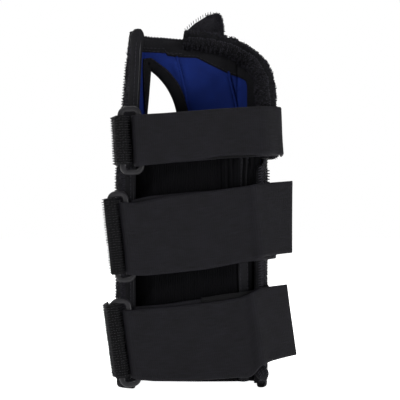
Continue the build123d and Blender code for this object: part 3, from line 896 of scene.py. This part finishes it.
def make_top_rim():
    """The top rim's tape, with overlock over its upper edge."""
    rim = Wall(("front_left", lambda z: -36.9), ("back", lambda z: -8.0), wall / 2)
    arc = np.linspace(0, rim.length, 110)
    path, out = rim(join(arc, 180.0))
    path[:, 2] = top_of(palm_top, path[:, 0]) + 0.7 - 4.4 + 0.25 * ripple(path, 6, 12)
    s = Shape()
    side, up = sweep(s, path, out, oval(4.4, 2.1 + 0.25 * ripple(join(arc, 0, 12), 4), 24, 3.0))
    upward = side * np.sign(side[0, 2])
    for face in (1, -1):
        dashes(s, path + up * face * 2.05 - upward * 3.2, up * face, pitch=2.4)
    zigzag(s, path + upward * 4.1, up, upward, 3.8, pitch=1.7, radius=0.45, slant=0.9, bulge=0.5)
    s.build("top_rim_tape", [binding, thread], stands_for=["top_rim_binding"])


def make_thumb_hole():
    """The thumb hole's tape, wider on the palm's side."""
    inner, outer = hole_outline(0.2, 0.2), hole_outline(6.3, 1.0)
    half = np.linalg.norm(outer - inner, axis=1) / 2
    place = palm_place(wall / 2)
    path, out = place((inner + outer) / 2)
    s = Shape()
    section = oval(half, 2.2 + 0.1 * np.sin(np.arange(len(half)) * 0.9), 24, 3.0)
    side, up = sweep(s, path, out, section, closed=True)
    away = side * np.sign(np.sum(side * (place(outer)[0] - path), -1, keepdims=True))
    for face in (1, -1):
        edge = path + up * face * 2.15 + away * (half * 0.7)[:, None]
        dashes(s, np.concatenate([edge, edge[:1]]), np.concatenate([up, up[:1]]) * face, pitch=2.4)
    s.build("thumb_hole_tape", [binding, thread], stands_for=["thumb_hole_binding"])


# ---- Palm pocket, its peak and the padded roll ------------------------------------------------
pocket_low, pocket_high = box("palmar_pocket")
pocket_x = (pocket_low[0] + pocket_high[0]) / 2
pocket_half = (pocket_high[0] - pocket_low[0]) / 2
stay_low, stay_high = box("palmar_stay")


def make_pocket():
    """The outer pocket that the palm stay slides in: a sewn sleeve, open at its sloped top."""
    mouth_top, mouth_fall, gap = pocket_high[2] - 3.6, 0.2, 0.25

    def sleeve(ring, middle_y, foot, share):
        """Rings of a section, from a foot up to the mouth."""
        x, y = ring[..., 0], ring[..., 1]
        return join(pocket_x + x, middle_y + y, foot + share[:, None] * (mouth_top - mouth_fall * x - foot))

    z = np.arange(pocket_low[2], pocket_high[2] + 0.1, 2.0)
    half_y = (pocket_high[1] - pocket_low[1]) / 2 + 0.2 * ripple(join(0, 21, z), 7)
    ring, middle_y = oval(pocket_half - 1.0, half_y, 36, 3.4), (pocket_low[1] + pocket_high[1]) / 2
    outside = sleeve(ring, middle_y, pocket_low[2], (z - pocket_low[2]) / (z[-1] - pocket_low[2]))
    gap_x, gap_y, _ = (stay_high - stay_low) / 2 + gap
    ring, middle_y = oval(gap_x, gap_y, 36, 5.0), (stay_low[1] + stay_high[1]) / 2
    mouth = sleeve(ring, middle_y, stay_low[2] - 0.6, np.linspace(1, 0, 44))
    lip = (outside[-1] + mouth[0]) / 2 + [0, 0, 0.5]
    s = Shape()
    tube(s, np.concatenate([outside, [lip], mouth]), dome=0.0)
    for sign in (-1, 1):
        zz = np.arange(pocket_low[2] + 2, mouth_top - sign * 2.4 - 1.5, 1.0)
        path = join(pocket_x + sign * (pocket_half - 0.6), palm_face + 0.9, zz)
        sweep(s, path, to_palm, oval(1.4, 0.8, 12))
        dashes(s, path + to_palm * 0.75, to_palm, pitch=2.4)
    s.build("pocket_sleeve", [laminate, thread], stands_for=["palmar_pocket"])


def make_peak():
    """The pointed flap above the pocket: smooth on its left, looped along its right edge."""
    low, high = box("pocket_peak")
    left, top, foot = low[0], high[2], low[2] - 5
    corners = [(left - 1.0, foot + 4.2), (-4.0, top - 5.4), (2.6, top - 1.3), (8.2, top + 0.2)]
    corners += [(10.4, top - 0.9), (11.3, top - 4.2), (12.0, top - 9.4)]
    rise = rounded(corners, 3, 0.6)
    loop = np.concatenate([rise, [(12.4, foot - 2), (left + 2, foot - 2)]])

    def place(flat):
        x, z = flat.T
        curl = 2.2 * ramp(x - 5.5, 6) ** 2 - 0.4 * np.sin(ramp(z - foot, 14) * pi / 2)
        at = join(x, low[1] + 1.9 + curl * 0.9, z)
        return at, np.broadcast_to(-to_palm, at.shape)

    s = Shape()
    cut = cut_panel(loop, spacing=0.9)
    faces, out = add_panel(s, cut, place, 1.3, puff=0.35, relief=wrinkles(5, 0.15, 14))
    middle = faces.mean(1)
    fuzzy = middle[:, 0] > 6.6 + 0.12 * (middle[:, 2] - foot)
    add_pile(s, scatter(faces[fuzzy], out[fuzzy], 2.6), 1.0, thickness=0.15, slot=1)
    edge = place(rise)[0] + [0, -0.3, 0]
    inward = unit(join(np.gradient(rise[:, 1]), 0.0, -np.gradient(rise[:, 0])))
    count = 260
    pick = rng.integers(len(edge) // 2, len(edge), count)
    tufts = (edge[pick] + rng.normal(0, 0.3, (count, 3)), inward[pick])
    add_pile(s, tufts, 1.1, thickness=0.15, slot=1)
    sewn = slice(len(edge) // 2 + 8)
    outward = -inward[sewn]
    line = edge[sewn] + [0, -0.35, 0] + outward * 0.9
    zigzag(s, line, outward, -to_palm, 1.5, pitch=1.5, radius=0.2, slot=2)
    s.build("pocket_peak_flap", [laminate, pile, thread], stands_for=["pocket_peak"])


def inflate(piece, pinned, cap):
    """Swell a closed piece with Blender's cloth, holding the pinned points, then apply the result.

    The mass and the stiffness are low because the piece is small: with Blender's own values the
    pressure moves it by a few micrometres only.
    """
    mesh, frames = piece.data, 20
    rest = np.array([v.co for v in mesh.vertices])
    piece.vertex_groups.new(name="held").add([int(k) for k in pinned], 1.0, "REPLACE")
    modifier = piece.modifiers.new("cloth", "CLOTH")
    settings = modifier.settings
    settings.use_pressure = True
    settings.uniform_pressure_force = 4.0
    settings.effector_weights.gravity = 0
    settings.vertex_group_mass = "held"
    settings.quality = 5
    settings.mass = 1e-4
    settings.tension_stiffness = settings.compression_stiffness = settings.shear_stiffness = 0.05
    settings.bending_stiffness = 0.001
    modifier.point_cache.frame_start, modifier.point_cache.frame_end = 1, frames
    scene = bpy.context.scene
    for step in range(1, frames + 1):
        scene.frame_set(step)
    posed = piece.evaluated_get(bpy.context.evaluated_depsgraph_get())
    push = np.array([v.co for v in posed.data.vertices]) - rest
    piece.modifiers.remove(modifier)
    scene.frame_set(1)
    far = np.linalg.norm(push, axis=1, keepdims=True)
    push *= np.minimum(1, cap / np.maximum(far, 1e-9))
    mesh.vertices.foreach_set("co", (rest + push).ravel().astype(np.float32))
    mesh.update()
    print(f"{piece.name} moves up to {far.max() / MM:.2f} mm before its cap, mean {far.mean() / MM:.2f} mm")


def make_roll():
    """The padded roll along the top of the palm and down the little finger's side."""
    path = rounded(roll_route, 14, 0.8)
    t = lengths(path)
    tangent = unit(np.gradient(path, axis=0))
    front = unit(-to_palm - tangent * (tangent @ -to_palm)[:, None])
    outer = np.cross(front, tangent)
    outer *= np.sign(outer[len(path) // 2] @ [1.0, 0, 0.4])
    around, seam = 40, radians(24)
    a = np.arange(around) * 2 * pi / around
    off = np.abs((a - seam + pi) % (2 * pi) - pi)
    groove = 1 - 0.38 * bump(off, 0.2)
    ends = round_off(1 - np.minimum(t + 0.8, t[-1] - t + 0.8) / 2.6, 0.05)
    radius = 4.6 * ends[:, None] * groove[None]
    ring = np.cos(a)[None, :, None] * front[:, None] + np.sin(a)[None, :, None] * outer[:, None]
    grid = path[:, None] + ring * radius[..., None]
    pucker = np.sin(t * 2 * pi / 3.1)[:, None] * bump(off, 0.6)[None] * 0.3
    channels = 0.9 * np.abs(np.sin(t * pi / 3.3 + 1.5 * ripple(path, 12, 17)))
    pucker = pucker + channels[:, None] * ramp(off - 0.5, 1)[None]
    lumps = 0.6 * ripple(grid, 3.2, 15) + 0.45 * ripple(grid, 1.5, 16)
    grid = grid + ring * (pucker + lumps * ends[:, None])[..., None]
    s = Shape()
    tube(s, grid, dome=0.2)
    base = s.build("palm_roll", [roll_cloth], body=None, stands_for=["ulnar_roll"])
    held = np.zeros(grid.shape[:2], bool)
    held[:, off < 0.12] = held[:2] = held[-2:] = True
    caps = held.size + np.arange(2)
    inflate(base, np.concatenate([np.flatnonzero(held), caps]), 0.6 * MM)
    final = np.array([v.co for v in base.data.vertices])[: ring[..., 0].size].reshape(grid.shape) / MM

    triangles = grid_triangles(final)
    centre = np.tile(np.repeat(path[:-1], around, axis=0), (2, 1))
    normals = unit(triangles.mean(1) - centre)
    turns = t[:-1, None] * 2 * pi / 2.7
    rows = np.cos(turns + 2.0 * ripple(path[:-1], 9, 18)[:, None] + 0.9 * off[None])
    tufted = np.tile(((rows > -0.2) & (off > 0.32)[None]).ravel(), 2)
    s = Shape()
    add_pile(s, scatter(triangles[tufted], normals[tufted], 2.6), 0.75, thickness=0.2)
    s.build("roll_pile", [pile])
    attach(base, "sleeve")

    s = Shape()
    k = int(round(seam / (2 * pi) * around))
    line, outs = final[2:-2, k], ring[2:-2, k]
    across = unit(np.cross(tangent[2:-2], outs))
    zigzag(s, line + outs * 0.25, across, outs, 2.4, pitch=1.5, radius=0.2, slant=0.6, slot=0)
    dashes(s, line + outs * 0.3, outs, pitch=2.1, length=1.6, radius=0.2, slot=0)
    s.build("roll_stitches", [thread])


# ---- Tongue -----------------------------------------------------------------------------------
def outside(line):
    """The directions out of the sleeve along a level route from the thumb's side."""
    run = unit(np.gradient(line, axis=0))
    return join(run[:, 1], -run[:, 0], 0.0)


def make_tongue():
    """The stretch tongue: vertical knitted ribs, gathered into folds beside its edge tape."""
    low, high = box("tongue")
    pitch, per_rib = 1.15, 5
    line = rounded([p + (0.0,) for p in tongue_route], 3, pitch / per_rib)
    t, out = lengths(line), outside(line)
    across, z = np.meshgrid(t, np.arange(low[2], high[2] + 0.1, 2.0), indexing="ij")
    place = join(across, 0.0, z)
    x = line[:, :1]
    ribs = 0.2 * np.cos((across + 0.5 * ripple(place, 18, 20)) * 2 * pi / pitch)
    folds = 0.45 * ramp(x - 6, 12) * np.sin((across + 2.0 * ripple(place, 30, 21)) * 2 * pi / 4.6)
    folds = folds * np.interp(z, [60, 110], [0.35, 1.0]) * ramp(22 - x, 4)
    cover = ramp(x - 8, 4) * ramp(z - 92, 6)
    gather = 0.75 * np.sin((across + 2.0 * ripple(place, 18, 23)) * 2 * pi / 3.3) + 0.5 * ripple(place, 5, 24)
    sag = -0.5 * np.abs(ripple(place, 26, 22)) * (1 - cover) + cover * (2.0 + gather)
    front = line[:, None] + out[:, None] * (0.55 + ribs + folds + sag)[..., None]
    back = line[:, None] - out[:, None] * (0.5 - 0.5 * ribs - folds * 0.8 - sag * (1 - cover))[..., None]
    front[..., 2] = back[..., 2] = z
    s = Shape()
    tube(s, np.concatenate([front, back[::-1]]).transpose(1, 0, 2), cap="strip")
    piece = s.build("tongue_rib", [ribbing], stands_for=["tongue"])


def make_tongue_tape():
    """The smooth tape down the tongue's right edge."""
    low, high = box("tongue_tape")
    z = np.arange(low[2], high[2], 1.5)
    path = join((low[0] + high[0]) / 2 + 0.25 * np.sin(z / 17), (low[1] + high[1]) / 2, z)
    s = Shape()
    side, up = sweep(s, path, (0.57, -0.82, 0.0), oval(2.9 + 0.1 * np.sin(z / 3), 0.75, 20, 3))
    for shift in (-2.2, 2.2):
        dashes(s, path + side * shift + up * 0.7, up, pitch=2.4, length=1.6, radius=0.13)
    s.build("tongue_edge_tape", [binding, thread], stands_for=["tongue_tape"])


def make_tongue_hem():
    """The tongue's hem."""
    low, high = box("tongue_hem")
    line = rounded([p + ((low[2] + high[2]) / 2,) for p in tongue_route[1:-1]], 3, 1.2)
    half = (high[2] - low[2]) / 2
    s = Shape()
    depth = 1.25 + 0.08 * np.sin(np.arange(len(line)) * 1.7)
    _, up = sweep(s, line, outside(line), oval(half, depth, 20, 3.4))
    dashes(s, line + up * 1.22 + [0, 0, -half * 0.6], up, pitch=2.2, length=1.5)
    s.build("tongue_hem_tape", [ribbing, thread], stands_for=["tongue_hem"])


# ---- Closures ---------------------------------------------------------------------------------
def ribbon(shape, line, across, widths, thick, shifts=0.0, wave=0.18, seed=0.0, dents=(), slant=0.0):
    """A band along a line: its width and its shift along its own width may change on the way."""
    run = unit(np.gradient(line, axis=0))
    up = unit(np.cross(across, run))
    sections = np.stack([flat_section(width, thick) for width in np.broadcast_to(widths, len(line))])
    sections[..., 0] += np.broadcast_to(shifts, len(line))[:, None]
    sections[[0, -1], :, 1] *= 0.55
    grid = line[:, None] + sections[..., :1] * across + sections[..., 1:] * up[:, None]
    grid = grid + up[:, None] * (wave * ripple(grid, 16, seed))[..., None]
    grid = grid + across * (0.22 * ripple(line, 13, seed + 3))[:, None, None]
    along = lengths(line)
    tail = ramp(along - along[-1] + 8, 8)
    half_width = np.ptp((grid[0] - grid[0].mean(0)) @ unit(across)) / 2
    high = (grid - grid.mean(1)[:, None]) @ unit(across) / half_width
    grid = grid + (tail[:, None] * high * slant)[..., None] * run[:, None]
    for centre, spread, push in dents:
        grid = grid + push * bump(np.linalg.norm(grid - centre, axis=-1), spread)[..., None]
    tube(shape, grid, cap="strip")
    return grid, up


def closure_frame(name):
    """A closure joint's bar: a point on it, the directions along and across the strap, and a function
    that places a line drawn from it as (along the strap, towards the palm)."""
    point = np.array(joints[name]["pos_m"], float) / MM
    axis = unit(np.array(joints[name]["axis"], float))
    across = -axis if axis[2] < 0 else axis
    along = np.array([across[2], 0.0, -across[0]])
    return point, along, across, lambda line: point + line[:, :1] * along + line[:, 1:] * to_palm


def add_hooks(shape, grid, up_sign, pitch=1.3, size=0.95):
    """Rows of hooks over one face of a band's grid."""
    columns = grid.shape[1] // 2
    sides = grid[:, :columns], grid[:, columns:][:, ::-1]
    face, other = sides if up_sign > 0 else sides[::-1]
    along, width = lengths(face[:, columns // 2]), lengths(face[len(face) // 2])
    places = [np.arange(pitch, reach[-1] - pitch / 2, pitch) for reach in (along, width)]
    r, c = ((at + rng.normal(0, 0.12, at.shape)).ravel() for at in np.meshgrid(*places, indexing="ij"))
    fr, fc = np.interp(r, along, np.arange(len(face))), np.interp(c, width, np.arange(columns))
    i, j = np.clip(fr.astype(int), 0, len(face) - 2), np.clip(fc.astype(int), 0, columns - 2)
    at, under = (bilinear(layer, i, j, (fr - i)[:, None], (fc - j)[:, None]) for layer in (face, other))
    out = unit(at - under)
    lean = unit(face[i + 1, j] - face[i, j]) * np.where(rng.random((len(at), 1)) < 0.5, 1, -1)
    tall = size * rng.uniform(0.75, 1.2, (len(at), 1))
    steps = ((0.6, 0.0), (1.0, 0.2), (0.92, 0.55), (0.6, 0.62))
    hook = [at + out * tall * high + lean * tall * far for high, far in steps]
    radii = np.array([1.1, 1.0, 0.9, 0.8, 0.5]) * 0.15
    strands(shape, np.stack([at - out * 0.15, *hook], 1), radii, slot=1)


# By strap number: x at the strap's outer side, x where the sewn layer bends, y where it ends and x where
# the free layer bends.
side_x = {1: 39.6, 2: 35.9, 3: 36.8}
corner_x = {1: 30.0, 2: 28.0, 3: 28.0}
sewn_back = {1: 4.0, 2: -4.0, 3: -4.0}
bend_x = {1: 33.0, 2: 30.0, 3: 29.5}
# Each band's width and shift along its width, as (distance from the ring's bar, width, shift).
outer_shape = {
    1: [
        (-4, 26.4, -0.1), (30, 25.1, 1.2), (41, 24.3, 2.0),
        (54, 24.6, 2.0), (75, 24.9, 1.5), (105, 25.2, 0.6),
    ],
    2: [
        (-4, 37.4, 0.1), (5, 37.5, -1.2), (20, 39.2, -0.8), (36, 39.8, -0.3),
        (53, 38.6, 0.5), (62, 37.8, 1.1), (69, 37.2, 2.0), (88, 36.9, 1.9),
    ],
    3: [
        (-4, 35.1, -0.7), (11, 37.6, -3.0), (30, 38.9, -4.8), (50, 40.1, -5.4),
        (58, 41.3, -5.8), (63, 37.4, -2.4), (70, 38.0, -0.8), (86, 36.8, -0.7),
    ],
}
inner_shape = {
    1: [(0, 25.6, 0.0), (40, 25.0, 1.0), (80, 25.2, 1.4), (120, 25.2, 0.8)],
    2: [(0, 36.0, 0.8), (12, 37.0, 1.6), (30, 37.6, 1.4), (50, 37.6, 0.4), (120, 38.0, 0.0)],
    3: [(0, 34.4, 0.4), (20, 36.6, -1.6), (55, 37.6, -2.0), (72, 38.0, -0.8), (120, 38.0, 0.0)],
}


def vary(table, along):
    """Width and shift at each place along a band."""
    x, width, shift = np.array(table, float).T
    near = np.linspace(-2, 2, 5)
    soften = lambda values: np.mean([np.interp(along + d, x, values) for d in near], axis=0)
    return soften(width), soften(shift)


def from_bar(x, bar, along):
    """x as a distance along a strap from its bar."""
    return (x - bar[0]) / along[0]


def make_sewn_layer(number):
    """A strap's sewn layer: from the little finger's side to the fold, where the free layer takes over."""
    bar, along, across, local = closure_frame(f"strap_{number}_peel")
    width = strap_widths[number]
    sewn_x = side_x[number] - 1.0 if number == 1 else little_face + 0.8 + width / 2 * abs(along[2])
    corner, sewn = (from_bar(x, bar, along) for x in (corner_x[number], sewn_x))
    route = [(0.2, fold_mid), (4.4, fold_mid), (13, 1.2), (corner, 1.2), (sewn, -20 - bar[1])]
    line = rounded([*route, (sewn, sewn_back[number] - bar[1])], 6, 1.3)
    widths, shifts = vary(inner_shape[number], lengths(line))
    s = Shape()
    _, up = ribbon(s, local(line), across, widths, band, shifts, seed=30 + number)
    # A stitched box with a cross in it.
    count = 12
    end, face = local(line)[-count:], unit(up[-count:])
    outward = face * np.sign(face[:, :1])
    reach, stitch = width / 2 - 2.2, dict(pitch=2.0, length=1.4, radius=0.16)
    for ends in ((-1, -1), (1, 1), (-1, 1), (1, -1)):
        shift = np.linspace(*ends, count)[:, None] * reach * across
        dashes(s, end + shift + outward * 0.72, outward, **stitch)
    for k in (1, -2):
        row = end[k] + np.linspace(-1, 1, 20)[:, None] * reach * across + outward[k] * 0.72
        dashes(s, row, outward[k], **stitch)
    name, stands_for = f"strap_{number}_sewn_layer", [f"strap_inner_{number}"]
    piece = s.build(name, [elastic, thread], body=None, stands_for=stands_for)
    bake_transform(piece)


def make_free_layer(number):
    """The layer that peels: the fold round the ring's bar and the free run back."""
    bar, along, across, local = closure_frame(f"strap_{number}_peel")
    width = strap_widths[number]
    turn = np.radians(np.linspace(88, 270, 16))
    fold = join(fold_mid * np.cos(turn), fold_mid * np.sin(turn))
    x = from_bar(bend_x[number], bar, along)
    route = [fold[-1], (13, -1.2), (x, -1.2)]
    if number == 1:
        wrap = from_bar(side_x[1] + 1.4, bar, along)
        run = rounded([*route, (wrap, -20.5 - bar[1]), (wrap, -1 - bar[1])], [6, 7, 5], 1.3)
    else:
        drop, tail = radians(35), 20.5
        run = rounded([*route, (x + tail * cos(drop), tail * sin(drop) - 1.2)], [6, 4.5], 1.3)
        run[:, 1] -= 2.2 * bump(run[:, 0] - x + 1.5, 3.0)
    line = np.concatenate([resample(fold, 0.7), run[1:]])
    widths, shifts = vary(outer_shape[number], lengths(line) - fold_mid * pi)
    crease = bar + along * from_bar(bend_x[number] - 3.0, bar, along) - across * (width / 2 - 4)
    dents = [(crease, 5.0, to_palm * -1.3), (crease + along * 6, 4.0, to_palm * 0.8)] if number == 3 else []
    slant = 2.6 if number == 2 else 0.0
    s = Shape()
    ribbon(s, local(line), across, widths, band, shifts, 0.25, 40 + number, dents, slant)
    name, stands_for = f"strap_{number}_free_layer", [f"strap_outer_{number}"]
    piece = s.build(name, [elastic], body=None, stands_for=stands_for)
    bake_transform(piece)


def make_hook_patch(number):
    """Hook tape under a free run."""
    bar, along, across, local = closure_frame(f"strap_{number}_peel")
    depth = -1.2 + band / 2 + 0.35
    line = resample(np.array([(from_bar(x, bar, along), depth) for x in (2.0, 27.0)]), 1.2)
    s = Shape()
    grid, up = ribbon(s, local(line), across, strap_widths[number] - 3.0, 0.6, wave=0.0, seed=50 + number)
    add_hooks(s, grid, 1 if up[0][1] > 0 else -1, size=0.3, pitch=1.4)
    name, body, stands_for = f"strap_{number}_hook_patch", f"strap_{number}", [f"hook_patch_{number}"]
    s.build(name, [hook_base, hook_wire], body=body, stands_for=stands_for)


def make_tab(number):
    """The hook-tape tab that holds a ring against the thumb's side."""
    bar, along, across, local = closure_frame(f"ring_{number}_swing")
    lean = top_lean / (lean_end - lean_start) if number == 1 else 0.0
    reach = tab_widths[number] / 2 * (abs(along[2]) + lean)
    side = thumb_face + lean * max(0, bar[2] - lean_start) - 0.95 - reach - bar[0]
    middle = 2.8
    turn = np.radians(np.linspace(180, 360, 18))
    loop = join(middle * np.cos(turn), middle * np.sin(turn))
    back = rounded([(side, 4 - bar[1]), (side - 0.3, 12), (-middle, 0)], 5, 1.0)
    front = rounded([(middle, 0), (middle - 0.2, 3.2), (min(side + 2.3, 0.4), 9.6)], 2, 0.8)
    line = np.concatenate([back[:-1], resample(loop, 0.7)[:-1], front])
    extra = 1.6 if number == 1 else 3.6
    s = Shape()
    width, shift = tab_widths[number] + extra, extra * 0.45
    grid, up = ribbon(s, local(line), across, width, 1.4, shift, wave=0.12, seed=60 + number)
    add_hooks(s, grid, 1 if up[0][0] < 0 else -1)
    name, stands_for = f"tab_{number}_hook_tape", [f"ring_tab_{number}"]
    s.build(name, [hook_base, hook_wire], stands_for=stands_for)


# ---- Build the object -------------------------------------------------------------------------
for make in (
    make_shell, make_lining, make_facing, make_rail, make_right_edge, make_right_knob, make_hem, make_top_rim,
    make_thumb_hole, make_pocket, make_peak, make_roll, make_tongue, make_tongue_tape, make_tongue_hem,
):
    make()
for number in (1, 2, 3):
    for make in (make_sewn_layer, make_free_layer, make_hook_patch, make_tab):
        make(number)

hard_parts = {f"ring_{number}": moulded for number in (1, 2, 3)}
hard_parts |= {"palmar_stay": aluminium, "left_stay": boning, "right_stay": boning}
for name, material in hard_parts.items():
    node = frame["nodes"][name]
    node.data.materials.clear()
    node.data.materials.append(material)


# ---- Stage, light and camera ------------------------------------------------------------------
def plane(name, corners, strength):
    """A plain pale sheet of the studio."""
    mesh = bpy.data.meshes.new(name)
    mesh.from_pydata(corners, [], [(0, 1, 2, 3)])
    n = Nodes(name)
    n.shader.inputs["Base Color"].default_value = (0.9, 0.9, 0.9, 1)
    n.shader.inputs["Roughness"].default_value = 0.9
    n.shader.inputs["Emission Color"].default_value = (1, 1, 1, 1)
    n.shader.inputs["Emission Strength"].default_value = strength
    mesh.materials.append(n.material)
    piece = bpy.data.objects.new(name, mesh)
    bpy.context.scene.collection.objects.link(piece)


plane("studio_floor", [(-4, -4, 0), (4, -4, 0), (4, 4, 0), (-4, 4, 0)], 1.0)

world = bpy.data.worlds.new("studio")
bpy.context.scene.world = world
world.use_nodes = True
tree = world.node_tree
lit = tree.nodes["Background"]
lit.inputs["Color"].default_value = (1, 1, 1, 1)
lit.inputs["Strength"].default_value = 0.18
seen = tree.nodes.new("ShaderNodeBackground")
seen.inputs["Strength"].default_value = 1.0
seen.inputs["Color"].default_value = (1, 1, 1, 1)
rays = tree.nodes.new("ShaderNodeLightPath")
mixed = tree.nodes.new("ShaderNodeMixShader")
tree.links.new(rays.outputs["Is Camera Ray"], mixed.inputs[0])
tree.links.new(lit.outputs[0], mixed.inputs[1])
tree.links.new(seen.outputs[0], mixed.inputs[2])
tree.links.new(mixed.outputs[0], tree.nodes["World Output"].inputs["Surface"])

camera_x, camera_height = -0.00094, 0.097
object_middle = Vector((0, 0, camera_height))
for name, where, size, power in (
    ("key", (-0.8, -1.1, 1.1), 0.4, 14.0),
    ("strip", (1.5, -1.0, 0.3), 0.4, 15.0),
    ("top", (0.1, 0.3, 1.5), 0.7, 9.0),
    ("back", (-0.5, 1.6, 0.8), 0.8, 12.0),
):
    lamp = bpy.data.lights.new(name, "AREA")
    lamp.size, lamp.energy = size, power
    light = bpy.data.objects.new(name, lamp)
    light.location = where
    light.rotation_euler = (object_middle - Vector(where)).to_track_quat("-Z", "Y").to_euler()
    bpy.context.scene.collection.objects.link(light)

camera_distance, view_width = 1.1, 0.21
camera_data = bpy.data.cameras.new("camera")
camera_data.sensor_width = 36
camera_data.lens = 36 * camera_distance / view_width
camera_data.clip_start, camera_data.clip_end = 0.05, 50
camera = bpy.data.objects.new("camera", camera_data)
camera.location = (camera_x, -camera_distance, camera_height)
camera.rotation_euler = (pi / 2, 0, 0)
bpy.context.scene.collection.objects.link(camera)
bpy.context.scene.camera = camera
bpy.context.scene.view_settings.view_transform = "Standard"
